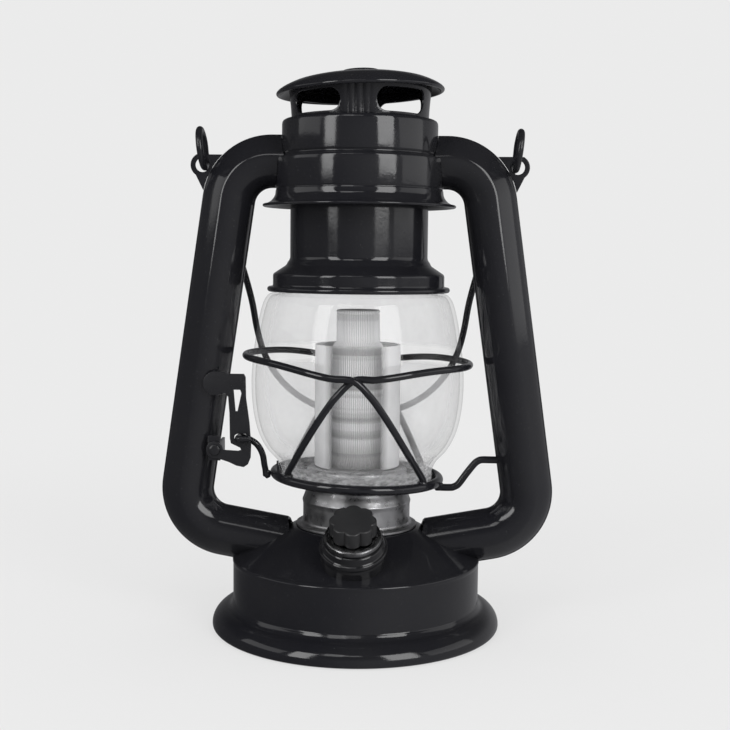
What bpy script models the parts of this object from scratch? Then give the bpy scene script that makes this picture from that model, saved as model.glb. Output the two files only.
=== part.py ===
"""Battery barn lantern: a lamp in the form of a tubular hurricane lantern.

Frame: the origin is the centre of the foot's resting plane, +Z is up, -Y is the front with the
dimmer knob, and -X is the side with the lift lever.  Every length below is in millimetres and
every angle is in degrees; the helper functions turn them into metres and radians.
"""
import math

import bmesh
import bpy
from mathutils import Matrix, Vector

MM = 0.001
GAP = 0.3                    # clear space left between two neighbouring pieces
SHEET = 0.9                  # wall of the pressed steel parts
ROUND = 28                   # sides of the large turned parts
ROUND_SMALL = 20             # sides of the small turned parts

# ---- driving dimensions -------------------------------------------------------------------
FOOT_R = 59.9                # rim of the foot
DRUM_R = 51.4                # straight wall of the base
DRUM_FOOT_Z = 9.4
DRUM_TOP_Z = 28.5
DOME_MOUTH_R = 21.0          # opening at the top of the base
DOME_FLAT_R = 25.8           # the level land that the burner stands on
DOME_SLOPE = 28.0

BURNER_FLANGE_R = 25.2
BURNER_R = 22.4
BURNER_NECK_R = 20.8
BURNER_TOP_Z = 67.0

PLATE_RIM_R = 34.2           # centre of the rolled rim of the globe plate
PLATE_RIM_Z = 63.0
PLATE_RIM_BEAD = 1.9
PLATE_HOLE_R = 21.6
PLATE_FLOOR_DROP = 2.8       # underside of the plate's floor below the centre of its rim
CARRIER_SAG = 0.035          # fall of the plate and guard per millimetre to the right

GLOBE_WALL = 1.5

CHIMNEY_R = 28.25
CHIMNEY_TOP_Z = 186.0
COLLAR_R = 35.3
COLLAR_Z = 140.4

HOOD_LIP_R = 39.6
HOOD_LIP_Z = 173.8
HOOD_LOWER_R = 34.2
HOOD_UPPER_R = 31.8
HOOD_STEP_Z = 193.0
HOOD_TOP_Z = 208.8

CROWN_R = 28.4               # at the top; the ring narrows down to its foot
CROWN_FOOT_R = 27.0
CROWN_TOP_Z = 222.8
CROWN_WINDOW_TOP_Z = 218.8
CROWN_WINDOW_TURN = 39.5     # from the front or the back round to the middle of each window
CROWN_WINDOW_HALF = 11.4
CAP_R = 34.2
CAP_RIM_Z = 219.8
CAP_TOP_Z = 228.1
CAP_SLANT = 0.04             # rise of the cap per millimetre to the right
FINIAL_R = 7.9

TUBE_HALF_WIDTH = 10.8       # half width across the front view
TUBE_HALF_DEPTH = 10.2       # half depth front to back
TUBE_RUN_Z = 192.3           # centre line of the run into the hood
TUBE_LEAN = 8.2
TUBE_X_AT_TOP = 54.2         # centre line of the leaning run at TUBE_X_TOP_Z
TUBE_X_TOP_Z = 172.9
TUBE_BEND_R = 18.0
TUBE_LOWER_Z = 38.0          # centre line of the lower run where it crosses the drum wall
TUBE_LOWER_SLOPE = 10.2
SEAM_HALF = 0.15             # half of the gap between the front and back stampings

EAR_HOLE_X = 64.5
EAR_HOLE_Z = 190.6
EAR_HOLE_R = 2.9
EAR_R = 4.9                  # outside of the lug round its hole
EAR_TOP_Z = 194.9
EAR_THICK = 1.0

WIRE_R = 1.4                 # bail and guard wire
BAIL_RING_R = 7.6
BAIL_RING_SPLAY = 0.12       # outward lean of each hook's ring per millimetre of height
BAIL_LEAN = 18.0
BAIL_DROP = 0.9              # the hook's wire hangs this far below the middle of the lug's hole
BAIL_AXIS_Z = EAR_HOLE_Z - BAIL_DROP + BAIL_RING_R

ROD_Z = 70.0                 # height at which the right lift rod enters its tube
LEVER_Y = -11.9              # middle of the lever's strip
LEVER_THICK = 1.0
LEVER_PIVOT = (-57.9, 74.6)  # X and Z of the pin that the lever turns on
LEVER_ROD = (-48.2, 79.6)    # X and Z of the rod's end in the lever's slot
LIFT = 3.85                  # rise of the globe plate over the lever's whole swing

KNOB_TILT = 28.0
KNOB_AXIS_Y = -36.6          # where the dimmer's axis meets the dome
KNOB_AXIS_Z = 36.7
BOSS_R = 13.4
BOSS_TOP = 9.6               # heights from here on run along the dimmer's axis
BEZEL_TOP = 12.2
KNOB_UNDER = 12.7
KNOB_FACE = 19.4
KNOB_R = 9.1
KNOB_LOBES = 8
SHAFT_R = 3.0

LENS_TOP_Z = 132.0
LENS_TIP_R = 9.0
LENS_R = 10.7
SLEEVE_R = 17.7
SLEEVE_TOP_Z = 117.8
POST_FACE = 3.6              # from the axis to each face of the three-sided lamp post
LED_LEVELS = (82.0, 96.0, 110.0)

TRAY_R = 50.0
TRAY_LOW_Z = 2.4
TRAY_HIGH_Z = 5.2
BAY_HALF_X = 29.7
BAY_HALF_Y = 30.8
BAY_TOP_Z = 20.2
CELL_R = 7.1
CELL_LENGTH = 49.2
CELL_END_X = 22.4            # each cell's flat end, from the middle of the bay
CELL_PITCH = 15.2
CELL_Z = 12.7
CONTACT_HALF = 5.5           # half of a contact plate's height and of its reach past a cell's axis
CONTACT_X = 28.8             # inner face of the contact plates
CONTACT_THICK = 0.5
SPRING_X = 28.0
SPRING_COIL_R = 3.2
SPRING_LENGTH = 5.2
HINGE_PIN_R = 0.7
HINGE_Y = 31.6
HINGE_Z = 3.8


# ---- materials ----------------------------------------------------------------------------
def material(name, colour, metallic, roughness, transmission=0.0):
    made = bpy.data.materials.new(name)
    made.use_nodes = True
    shader = made.node_tree.nodes["Principled BSDF"]
    shader.inputs["Base Color"].default_value = (*colour, 1.0)
    shader.inputs["Metallic"].default_value = metallic
    shader.inputs["Roughness"].default_value = roughness
    shader.inputs["Transmission Weight"].default_value = transmission
    made.diffuse_color = (*colour, 1.0)
    return made


def enamel(name):
    return material(name + "_enamel", (0.012, 0.012, 0.014), 0.0, 0.22)


def bare_steel(name):
    return material(name + "_steel", (0.28, 0.28, 0.29), 0.9, 0.42)


def black_plastic(name):
    return material(name + "_plastic", (0.022, 0.022, 0.024), 0.0, 0.5)


def clear_plastic(name):
    return material(name + "_clear", (0.86, 0.88, 0.89), 0.0, 0.06, 0.95)


# ---- building helpers ---------------------------------------------------------------------
for leftover in list(bpy.data.objects):
    bpy.data.objects.remove(leftover, do_unlink=True)

lantern = bpy.data.collections.new("barn_lantern")
bpy.context.scene.collection.children.link(lantern)
cutters = bpy.data.collections.new("cutters")
bpy.context.scene.collection.children.link(cutters)


def metres(point):
    return tuple(value * MM for value in point)


def new_object(name, data, mat, origin=(0.0, 0.0, 0.0)):
    made = bpy.data.objects.new(name, data)
    made.location = metres(origin)
    if mat is None:
        cutters.objects.link(made)
        made.hide_render = True
        made.display_type = "WIRE"
    else:
        lantern.objects.link(made)
        data.materials.append(mat)
    return made


def smooth(obj, angle=35.0):
    obj.data.shade_smooth()
    obj.data.set_sharp_from_angle(angle=math.radians(angle))


def turned(name, profile, mat, steps=ROUND, closed=True, origin=(0.0, 0.0, 0.0)):
    """A profile of (radius, height) points, turned round the Z axis of the origin."""
    mesh = bpy.data.meshes.new(name)
    edges = [(index, index + 1) for index in range(len(profile) - 1)]
    if closed:
        edges.append((len(profile) - 1, 0))
    mesh.from_pydata([(r * MM, 0.0, z * MM) for r, z in profile], edges, [])
    made = new_object(name, mesh, mat, origin)
    screw = made.modifiers.new("turn", "SCREW")
    screw.axis = "Z"
    screw.steps = steps
    screw.render_steps = steps
    screw.use_merge_vertices = True
    screw.merge_threshold = 0.00001
    screw.use_smooth_shade = True
    baked = baked_mesh(made)
    made.data = baked
    made.modifiers.clear()
    smooth(made)
    return made


def slanted(obj, slope, low_z=0.0, high_z=1.0):
    """Raises each point by slope times its X; the rise grows from none at low_z to all at high_z."""
    for vert in obj.data.vertices:
        share = (vert.co.z / MM - low_z) / (high_z - low_z)
        vert.co.z += slope * vert.co.x * max(0.0, min(1.0, share))
    return obj


def baked_mesh(obj):
    """The object's evaluated shape as a plain mesh."""
    graph = bpy.context.evaluated_depsgraph_get()
    return bpy.data.meshes.new_from_object(obj.evaluated_get(graph), depsgraph=graph)


def curve_to_mesh(obj):
    """Swaps a curve for a mesh of the same name, place and shape, with its caps sewn on."""
    mesh = baked_mesh(obj)
    shape = bmesh.new()
    shape.from_mesh(mesh)
    bmesh.ops.remove_doubles(shape, verts=shape.verts, dist=0.01 * MM)
    bmesh.ops.recalc_face_normals(shape, faces=shape.faces)
    shape.to_mesh(mesh)
    shape.free()
    name = obj.name
    home = obj.users_collection[0]
    place = obj.matrix_world.copy()
    hidden = obj.hide_render
    bpy.data.objects.remove(obj, do_unlink=True)
    made = bpy.data.objects.new(name, mesh)
    home.objects.link(made)
    made.matrix_world = place
    made.hide_render = hidden
    smooth(made)
    return made


def wire(name, points, radius, mat, origin=(0.0, 0.0, 0.0), resolution=2):
    """A round wire through the points, which are measured from the origin."""
    curve = bpy.data.curves.new(name, "CURVE")
    curve.dimensions = "3D"
    curve.bevel_depth = radius * MM
    curve.bevel_resolution = resolution
    curve.use_fill_caps = True
    spline = curve.splines.new("POLY")
    spline.points.add(len(points) - 1)
    for spot, point in zip(spline.points, points):
        spot.co = (*metres(point), 1.0)
    return new_object(name, curve, mat, origin)


def flat(name, outline, thick, mat, holes=(), origin=(0.0, 0.0, 0.0), turn=None):
    """An outline of (x, y) points with any holes, as a plate whose mid-plane is z = 0."""
    curve = bpy.data.curves.new(name, "CURVE")
    curve.dimensions = "2D"
    curve.fill_mode = "BOTH"
    curve.extrude = thick * MM / 2.0
    for ring in (outline, *holes):
        spline = curve.splines.new("POLY")
        spline.points.add(len(ring) - 1)
        for spot, point in zip(spline.points, ring):
            spot.co = (point[0] * MM, point[1] * MM, 0.0, 1.0)
        spline.use_cyclic_u = True
    made = new_object(name, curve, mat, origin)
    if turn is not None:
        made.rotation_euler = turn
    bpy.context.view_layer.update()
    return curve_to_mesh(made)


def box(name, low, high, mat, bevel=0.0, origin=None):
    """A box between two corners, with its origin at its centre unless one is given."""
    middle = [(a + b) / 2.0 for a, b in zip(low, high)]
    if origin is None:
        origin = middle
    mesh = bpy.data.meshes.new(name)
    shape = bmesh.new()
    bmesh.ops.create_cube(shape, size=1.0)
    for vert in shape.verts:
        for axis in range(3):
            reach = (high[axis] - low[axis]) * vert.co[axis]
            vert.co[axis] = (middle[axis] - origin[axis] + reach) * MM
    shape.to_mesh(mesh)
    shape.free()
    made = new_object(name, mesh, mat, origin)
    if bevel > 0.0:
        rounding = made.modifiers.new("rounding", "BEVEL")
        rounding.width = bevel * MM
        rounding.segments = 2
        rounding.limit_method = "ANGLE"
    return made


def rod(name, start, end, radius, mat, sides=20):
    """A solid cylinder from one point to another, with its origin at the start."""
    axis = Vector(end) - Vector(start)
    mesh = bpy.data.meshes.new(name)
    shape = bmesh.new()
    lift = Matrix.Translation((0.0, 0.0, axis.length * MM / 2.0))
    bmesh.ops.create_cone(shape, cap_ends=True, segments=sides, radius1=radius * MM,
                          radius2=radius * MM, depth=axis.length * MM, matrix=lift)
    shape.to_mesh(mesh)
    shape.free()
    made = new_object(name, mesh, mat, start)
    made.rotation_euler = axis.to_track_quat("Z", "Y").to_euler()
    smooth(made)
    return made


def combine(target, tool, how):
    step = target.modifiers.new(how.lower(), "BOOLEAN")
    step.operation = how
    step.solver = "EXACT"
    step.object = tool
    return step


def cut(target, *tools):
    for tool in tools:
        combine(target, tool, "DIFFERENCE")


def join(target, *tools):
    for tool in tools:
        combine(target, tool, "UNION")


def arc(centre, radius, start, end, steps):
    """Points on an arc, both ends included; the angles run anticlockwise from +X."""
    points = []
    for index in range(steps + 1):
        angle = math.radians(start + (end - start) * index / steps)
        points.append((centre[0] + radius * math.cos(angle), centre[1] + radius * math.sin(angle)))
    return points


def circle(centre, radius, sides):
    return arc(centre, radius, 0.0, 360.0 - 360.0 / sides, sides - 1)


# ---- base ---------------------------------------------------------------------------------
def dome_z(radius):
    """Height of the dome's outer face at a distance from the axis, level round its mouth."""
    return DRUM_TOP_Z + (DRUM_R - max(radius, DOME_FLAT_R)) * math.tan(math.radians(DOME_SLOPE))


def base_outline(offset):
    """Outer line of the base from the mouth to the foot, moved outward by the offset."""
    up = offset / math.cos(math.radians(DOME_SLOPE))
    points = [(DOME_MOUTH_R, dome_z(DOME_MOUTH_R) + offset)]
    points.append((DOME_FLAT_R, dome_z(DOME_FLAT_R) + offset))
    points.append((DRUM_R - 2.4, dome_z(DRUM_R - 2.4) + up))
    points.append((DRUM_R - 0.5 + offset * 0.6, DRUM_TOP_Z - 0.4 + up))
    points.append((DRUM_R + offset, DRUM_TOP_Z - 2.2))
    points.append((DRUM_R + offset, DRUM_FOOT_Z + 0.6 + offset))
    points.append((DRUM_R + 0.7 + offset, DRUM_FOOT_Z - 0.2 + offset))
    skirt_r = FOOT_R - DRUM_R - 0.9
    skirt_z = DRUM_FOOT_Z - 2.6
    for angle in (68.0, 46.0, 24.0, 4.0):
        out = skirt_r * math.cos(math.radians(angle))
        rise = skirt_z * math.sin(math.radians(angle))
        points.append((DRUM_R + 0.9 + out + offset, 1.8 + rise + offset))
    return points


def base():
    outer = base_outline(0.0)
    inner = base_outline(-SHEET)
    rim = arc((FOOT_R - 1.5, 1.41), 1.5, 10.0, -70.0, 4)
    rim += arc((FOOT_R - 1.5, 1.41), 1.5, -110.0, -190.0, 4)
    shell = turned("base_shell", outer + rim + list(reversed(inner)), enamel("base"))
    hole_low = dimmer_point(-4.0)
    hole_high = dimmer_point(4.0)
    cut(shell, rod("cut_dimmer_hole", hole_low, hole_high, SHAFT_R + 0.8, None))


def base_solid(name):
    """The base's whole volume grown by the gap, for trimming what stands on it."""
    line = [(0.0, dome_z(0.0) + GAP)] + base_outline(GAP) + [(FOOT_R + GAP, -3.0), (0.0, -3.0)]
    return turned(name, line, None, closed=False)


def dimmer_point(height):
    tilt = math.radians(KNOB_TILT)
    return (0.0, KNOB_AXIS_Y - height * math.sin(tilt), KNOB_AXIS_Z + height * math.cos(tilt))


def tilted(obj, height):
    """Stands a piece on the dimmer's axis, with its origin at a height along it."""
    obj.location = metres(dimmer_point(height))
    obj.rotation_euler = (math.radians(KNOB_TILT), 0.0, 0.0)
    return obj


def dimmer():
    hole_r = SHAFT_R + 0.06
    boss_line = [(hole_r, BOSS_TOP), (BOSS_R - 2.6, BOSS_TOP), (BOSS_R - 1.6, BOSS_TOP - 0.6),
                 (BOSS_R - 1.2, BOSS_TOP - 2.6), (BOSS_R - 0.2, BOSS_TOP - 3.3),
                 (BOSS_R, BOSS_TOP - 4.4), (BOSS_R - 0.2, BOSS_TOP - 5.4),
                 (BOSS_R - 0.9, BOSS_TOP - 6.0), (BOSS_R - 0.9, -12.0), (hole_r, -12.0)]
    boss = tilted(turned("dimmer_boss", boss_line, black_plastic("boss"), steps=ROUND_SMALL), 0.0)
    cut(boss, base_solid("cut_dome"))

    bezel_line = [(8.0, BEZEL_TOP), (10.2, BEZEL_TOP), (11.2, BEZEL_TOP - 0.9),
                  (11.3, BOSS_TOP + GAP), (8.0, BOSS_TOP + GAP)]
    tilted(turned("dimmer_bezel", bezel_line, bare_steel("bezel"), steps=ROUND_SMALL), 0.0)

    knob = knob_body()
    bore_top = KNOB_FACE - KNOB_UNDER - 2.0
    bore = tilted(rod("cut_knob_bore", (0.0, 0.0, 0.0), (0.0, 0.0, bore_top + 1.0),
                      SHAFT_R + GAP, None), KNOB_UNDER - 1.0)
    cut(knob, bore)

    shaft_low = -3.0
    shaft_top = KNOB_UNDER + bore_top - GAP
    shaft = rod("dimmer_shaft", dimmer_point(shaft_low), dimmer_point(shaft_top), SHAFT_R,
                bare_steel("shaft"), sides=ROUND_SMALL)
    shaft.rotation_euler = (math.radians(KNOB_TILT), 0.0, 0.0)

    pot_top = -3.3
    rod("dimmer_control", dimmer_point(pot_top - 7.0), dimmer_point(pot_top), 8.0,
        black_plastic("control"), sides=ROUND_SMALL)


def knob_body():
    outline = []
    count = KNOB_LOBES * 6
    for index in range(count):
        angle = 2.0 * math.pi * index / count
        wave = max(-1.0, min(1.0, 1.7 * math.cos(KNOB_LOBES * angle)))
        reach = KNOB_R - 0.75 + 0.75 * wave
        outline.append((reach * math.cos(angle), reach * math.sin(angle)))
    knob = flat("dimmer_knob", outline, KNOB_FACE - KNOB_UNDER, black_plastic("knob"))
    for vert in knob.data.vertices:
        vert.co.z += (KNOB_FACE - KNOB_UNDER) / 2.0 * MM
    rounding = knob.modifiers.new("rounding", "BEVEL")
    rounding.width = 0.7 * MM
    rounding.segments = 2
    rounding.limit_method = "ANGLE"
    rounding.angle_limit = math.radians(60.0)
    return tilted(knob, KNOB_UNDER)


# ---- battery bay --------------------------------------------------------------------------
def battery_bay():
    mat = black_plastic("tray")
    wall = 1.2
    tray = rod("battery_tray", (0.0, 0.0, TRAY_LOW_Z), (0.0, 0.0, TRAY_HIGH_Z), TRAY_R, mat, ROUND)
    tray.rotation_euler = (0.0, 0.0, 0.0)
    bay = box("join_bay", (-BAY_HALF_X - wall, -BAY_HALF_Y - wall, TRAY_LOW_Z + 0.5),
              (BAY_HALF_X + wall, BAY_HALF_Y + wall, BAY_TOP_Z + wall), None)
    hollow = box("cut_bay", (-BAY_HALF_X, -BAY_HALF_Y, 0.0), (BAY_HALF_X, BAY_HALF_Y, BAY_TOP_Z),
                 None)
    mouth = box("cut_mouth", (-BAY_HALF_X, BAY_HALF_Y - 4.0, 0.0),
                (BAY_HALF_X, HINGE_Y + 2.0, TRAY_HIGH_Z + 3.0), None)
    hinge_roof = box("join_hinge_roof", (-BAY_HALF_X - wall, BAY_HALF_Y, TRAY_HIGH_Z - 0.6),
                     (BAY_HALF_X + wall, HINGE_Y + 2.0 + wall, TRAY_HIGH_Z + 3.0 + wall), None)
    pin_hole = rod("cut_hinge_pin", (-BAY_HALF_X - 3.4, HINGE_Y, HINGE_Z),
                   (BAY_HALF_X + 3.4, HINGE_Y, HINGE_Z), HINGE_PIN_R + 0.05, None, 16)
    lead_hole = rod("cut_lead_hole", (20.0, 0.0, BAY_TOP_Z - 2.0),
                    (20.0, 0.0, BAY_TOP_Z + 4.0), 2.4, None, 12)
    join(tray, bay, hinge_roof)
    cut(tray, hollow, mouth, pin_hole, lead_hole)
    smooth(tray)

    door_mat = black_plastic("door")
    edge = 0.4
    hinge = (0.0, HINGE_Y, HINGE_Z)
    door = box("battery_door", (-BAY_HALF_X + edge, -BAY_HALF_Y + edge, TRAY_LOW_Z + 0.2),
               (BAY_HALF_X - edge, HINGE_Y - 0.4, TRAY_LOW_Z + 2.2), door_mat, origin=hinge)
    barrel = rod("join_barrel", (-BAY_HALF_X + edge, HINGE_Y, HINGE_Z),
                 (BAY_HALF_X - edge, HINGE_Y, HINGE_Z), 1.4, None, 16)
    bore = rod("cut_barrel", (-BAY_HALF_X - 1.0, HINGE_Y, HINGE_Z),
               (BAY_HALF_X + 1.0, HINGE_Y, HINGE_Z), HINGE_PIN_R + 0.05, None, 16)
    grip = box("cut_grip", (-6.0, -BAY_HALF_Y - 1.0, TRAY_LOW_Z - 1.0),
               (6.0, -BAY_HALF_Y + 3.0, TRAY_LOW_Z + 1.2), None)
    join(door, barrel)
    cut(door, bore, grip)

    rod("door_hinge_pin", (-BAY_HALF_X - 3.0, HINGE_Y, HINGE_Z),
        (BAY_HALF_X + 3.0, HINGE_Y, HINGE_Z), HINGE_PIN_R, bare_steel("hinge_pin"), 16)


def cell(number, y, facing):
    """A penlight cell along X; facing is the sign of X that its button points to."""
    name = "cell_%d" % number
    length = CELL_LENGTH
    button_r = 2.7
    button = length + 1.2
    line = [(0.0, button), (button_r, button), (button_r, length), (CELL_R - 0.4, length),
            (CELL_R, length - 0.5), (CELL_R, 0.4), (CELL_R - 0.4, 0.0), (0.0, 0.0)]
    mat = material(name + "_jacket", (0.10, 0.11, 0.13), 0.4, 0.35)
    body = turned(name, line, mat, steps=14, closed=False)
    body.rotation_euler = (0.0, math.radians(90.0 * facing), 0.0)
    body.location = metres((-CELL_END_X * facing, y, CELL_Z))


def contact_spring(number, y, side):
    """The coil that presses on a cell's flat end; side is the sign of X of its bay wall."""
    turns = 2
    per_turn = 8
    steps = turns * per_turn
    points = []
    for index in range(steps + 1):
        angle = 2.0 * math.pi * index / per_turn
        x = side * (SPRING_X - SPRING_LENGTH * index / steps)
        points.append((x, y + SPRING_COIL_R * math.cos(angle), CELL_Z + SPRING_COIL_R * math.sin(angle)))
    wire("contact_spring_%d" % number, points, 0.35, bare_steel("spring"), resolution=1)


def cells_and_contacts():
    for number in range(1, 5):
        y = (number - 2.5) * CELL_PITCH
        facing = 1 if number % 2 else -1
        cell(number, y, facing)
        contact_spring(number, y, -facing)
    links = ((1, (1, 1)), (1, (2, 3)), (1, (4, 4)), (-1, (1, 2)), (-1, (3, 4)))
    for index, (side, (first, last)) in enumerate(links, start=1):
        low_y = (first - 2.5) * CELL_PITCH - CONTACT_HALF
        high_y = (last - 2.5) * CELL_PITCH + CONTACT_HALF
        near = CONTACT_X * side
        far = (CONTACT_X + CONTACT_THICK) * side
        box("contact_plate_%d" % index, (min(near, far), low_y, CELL_Z - CONTACT_HALF),
            (max(near, far), high_y, CELL_Z + CONTACT_HALF), bare_steel("contact"))


# ---- burner and light ---------------------------------------------------------------------
def burner():
    floor = dome_z(BURNER_FLANGE_R) + GAP
    outer = [(5.0, BURNER_TOP_Z), (BURNER_NECK_R - 0.8, BURNER_TOP_Z),
             (BURNER_NECK_R, BURNER_TOP_Z - 0.8), (BURNER_NECK_R, 57.2),
             (BURNER_NECK_R + 0.6, 55.0), (BURNER_R - 0.5, 53.2), (BURNER_R, 52.0),
             (BURNER_R, floor + 1.6), (BURNER_R + 0.5, floor + 1.0),
             (BURNER_FLANGE_R, floor + 0.8), (BURNER_FLANGE_R, floor)]
    inner = [(BURNER_R - 0.3, floor), (BURNER_R - SHEET, floor + 1.2), (BURNER_R - SHEET, 51.8),
             (BURNER_NECK_R - SHEET + 0.6, 54.7), (BURNER_NECK_R - SHEET, 57.0),
             (BURNER_NECK_R - SHEET, BURNER_TOP_Z - SHEET), (5.0, BURNER_TOP_Z - SHEET)]
    turned("burner_shell", outer + inner, bare_steel("burner"))


def light():
    foot = BURNER_TOP_Z + GAP
    lens_wall = 1.0
    outer = [(0.0, LENS_TOP_Z), (LENS_TIP_R - 0.4, LENS_TOP_Z), (LENS_TIP_R, LENS_TOP_Z - 0.4),
             (LENS_TIP_R, SLEEVE_TOP_Z + 1.0), (LENS_R, SLEEVE_TOP_Z - 1.0),
             (LENS_R, foot + 4.0), (LENS_R + 2.1, foot + 1.6), (LENS_R + 2.1, foot)]
    inner = [(LENS_R - lens_wall, foot), (LENS_R - lens_wall, SLEEVE_TOP_Z - 1.4),
             (LENS_TIP_R - lens_wall, SLEEVE_TOP_Z + 0.6),
             (LENS_TIP_R - lens_wall, LENS_TOP_Z - lens_wall), (0.0, LENS_TOP_Z - lens_wall)]
    turned("light_lens", outer + inner, clear_plastic("lens"), steps=ROUND_SMALL, closed=False)

    sleeve = [(SLEEVE_R, SLEEVE_TOP_Z), (SLEEVE_R, foot + 0.2), (SLEEVE_R - 1.0, foot + 0.2),
              (SLEEVE_R - 1.0, SLEEVE_TOP_Z)]
    turned("light_sleeve", sleeve, clear_plastic("sleeve"), steps=ROUND_SMALL)

    post_mat = material("post_board", (0.75, 0.76, 0.74), 0.0, 0.45)
    post = rod("light_post", (0.0, 0.0, foot), (0.0, 0.0, LENS_TOP_Z - 12.0), 2.0 * POST_FACE,
               post_mat, 3)
    post.rotation_euler = (0.0, 0.0, 0.0)
    number = 0
    for level in LED_LEVELS:
        for face in range(3):
            number += 1
            led(number, level, face)


def led(number, level, face):
    """A surface-mounted lamp on one face of the three-sided post: a disc with a domed lens."""
    name = "led_%02d" % number
    mat = material(name + "_lens", (0.93, 0.86, 0.55), 0.0, 0.2)
    line = [(0.0, 1.7), (1.3, 1.35), (2.1, 0.5), (2.1, 0.0), (0.0, 0.0)]
    made = turned(name, line, mat, steps=10, closed=False)
    angle = math.radians(-90.0 + 120.0 * face)
    reach = POST_FACE + GAP
    out = Vector((math.cos(angle), math.sin(angle), 0.0))
    made.location = metres((reach * out[0], reach * out[1], level))
    made.rotation_euler = out.to_track_quat("Z", "Y").to_euler()


def wiring():
    board = material("driver_board", (0.03, 0.16, 0.07), 0.0, 0.4)
    low = BAY_TOP_Z + 1.2 + GAP
    box("driver_board", (-14.0, -2.0, low), (14.0, 20.0, low + 1.6), board)
    top = BURNER_TOP_Z + 0.1
    for name, side, colour in (("lamp_lead_plus", 1, (0.45, 0.03, 0.02)),
                               ("lamp_lead_minus", -1, (0.02, 0.02, 0.02))):
        mat = material(name + "_jacket", colour, 0.0, 0.5)
        route = [(side * 8.0, 8.0, low + 1.6 + GAP), (side * 8.2, 8.2, low + 5.0),
                 (side * 7.4, 7.4, low + 12.0), (side * 5.2, 5.0, low + 20.0),
                 (side * 3.0, 2.4, low + 28.0), (side * 2.0, 1.0, low + 36.0), (side * 2.0, 0.0, top)]
        wire(name, route, 0.7, mat)


# ---- globe carrier: plate, guard, rods, globe and chimney ---------------------------------
GLOBE_LINE = ((31.2, 62.4), (31.4, 66.0), (33.3, 70.0), (37.7, 75.0), (41.2, 82.0),
              (43.2, 91.0), (43.9, 101.5), (43.3, 112.0), (42.0, 122.0), (40.5, 130.0),
              (38.9, 135.4), (37.1, 138.0), (35.4, 138.8), (33.6, 139.4), (33.4, 145.4))


def globe_radius(z):
    for (r0, z0), (r1, z1) in zip(GLOBE_LINE, GLOBE_LINE[1:]):
        if z0 <= z <= z1:
            return r0 + (r1 - r0) * (z - z0) / (z1 - z0)
    return GLOBE_LINE[0][0]


def globe():
    outer = list(reversed(GLOBE_LINE))
    inner = [(r - GLOBE_WALL, z) for r, z in GLOBE_LINE]
    turned("globe", outer + inner, clear_plastic("globe"))


def chimney():
    wall = SHEET
    bead = arc((COLLAR_R + 1.2, COLLAR_Z), 1.1, 70.0, -110.0, 5)
    outer = [(CHIMNEY_R, CHIMNEY_TOP_Z), (CHIMNEY_R, 153.6), (CHIMNEY_R + 0.5, 151.6),
             (CHIMNEY_R + 2.1, 149.4), (COLLAR_R - 0.6, 147.0), (COLLAR_R, 146.0),
             (COLLAR_R, COLLAR_Z + 1.8)] + bead
    inner = [(COLLAR_R - wall, COLLAR_Z - 0.4), (COLLAR_R - wall, 145.9), (COLLAR_R - 1.5, 146.5),
             (CHIMNEY_R + 1.5, 148.8), (CHIMNEY_R - wall + 0.3, 151.4),
             (CHIMNEY_R - wall, 153.4), (CHIMNEY_R - wall, CHIMNEY_TOP_Z)]
    turned("chimney", outer + inner, enamel("chimney"))


def globe_plate():
    bead = arc((PLATE_RIM_R, PLATE_RIM_Z), PLATE_RIM_BEAD, 150.0, -150.0, 9)
    floor_low = PLATE_RIM_Z - PLATE_FLOOR_DROP
    floor_top = floor_low + 0.8
    inner = [(PLATE_RIM_R - 2.6, floor_low), (PLATE_HOLE_R, floor_low), (PLATE_HOLE_R, floor_low + 2.0),
             (PLATE_HOLE_R + 0.8, floor_low + 2.0), (PLATE_HOLE_R + 1.0, floor_top),
             (PLATE_RIM_R - 2.6, floor_top)]
    slanted(turned("globe_plate", bead + inner, enamel("plate")), -CARRIER_SAG)


def guard_radius(z):
    """Distance of a guard leg's centre line from the axis, just outside the globe."""
    return max(PLATE_RIM_R, globe_radius(z) + WIRE_R + 0.8)


def guard_wire(name, side, at_crossing):
    """One bent wire: up from a front foot, round one side and down to the rear foot.

    The wire starts at the front foot opposite to its side, passes the front crossing, goes
    round the lantern's side and mirrors itself at the back.
    """
    ring_r = 46.3
    ring_z = 111.5
    cross_z = 107.2
    foot_z = PLATE_RIM_Z + PLATE_RIM_BEAD + 4.0 * GAP
    foot_x = 27.0
    half = []
    leg_steps = 7
    for index in range(leg_steps):
        part = index / leg_steps
        z = foot_z + (cross_z - foot_z) * part
        x = foot_x * (1.0 - part) ** 0.75
        fall = -side * x * CARRIER_SAG
        wide = guard_radius(z - fall) + (at_crossing - guard_radius(cross_z)) * part ** 3
        half.append((-side * x, -math.sqrt(wide ** 2 - x ** 2), z))
    ring_steps = 9
    for index in range(ring_steps + 1):
        angle = math.radians(90.0 * index / ring_steps)
        dip = math.cos(angle)
        wide = ring_r + (at_crossing - ring_r) * dip ** 4
        z = ring_z - (ring_z - cross_z) * dip ** 8
        half.append((side * wide * math.sin(angle), -wide * math.cos(angle), z))
    rear = [(x, -y, z) for x, y, z in reversed(half[:-1])]
    wire(name, [(x, y, z - CARRIER_SAG * x) for x, y, z in half + rear], WIRE_R, enamel("guard"))


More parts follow.
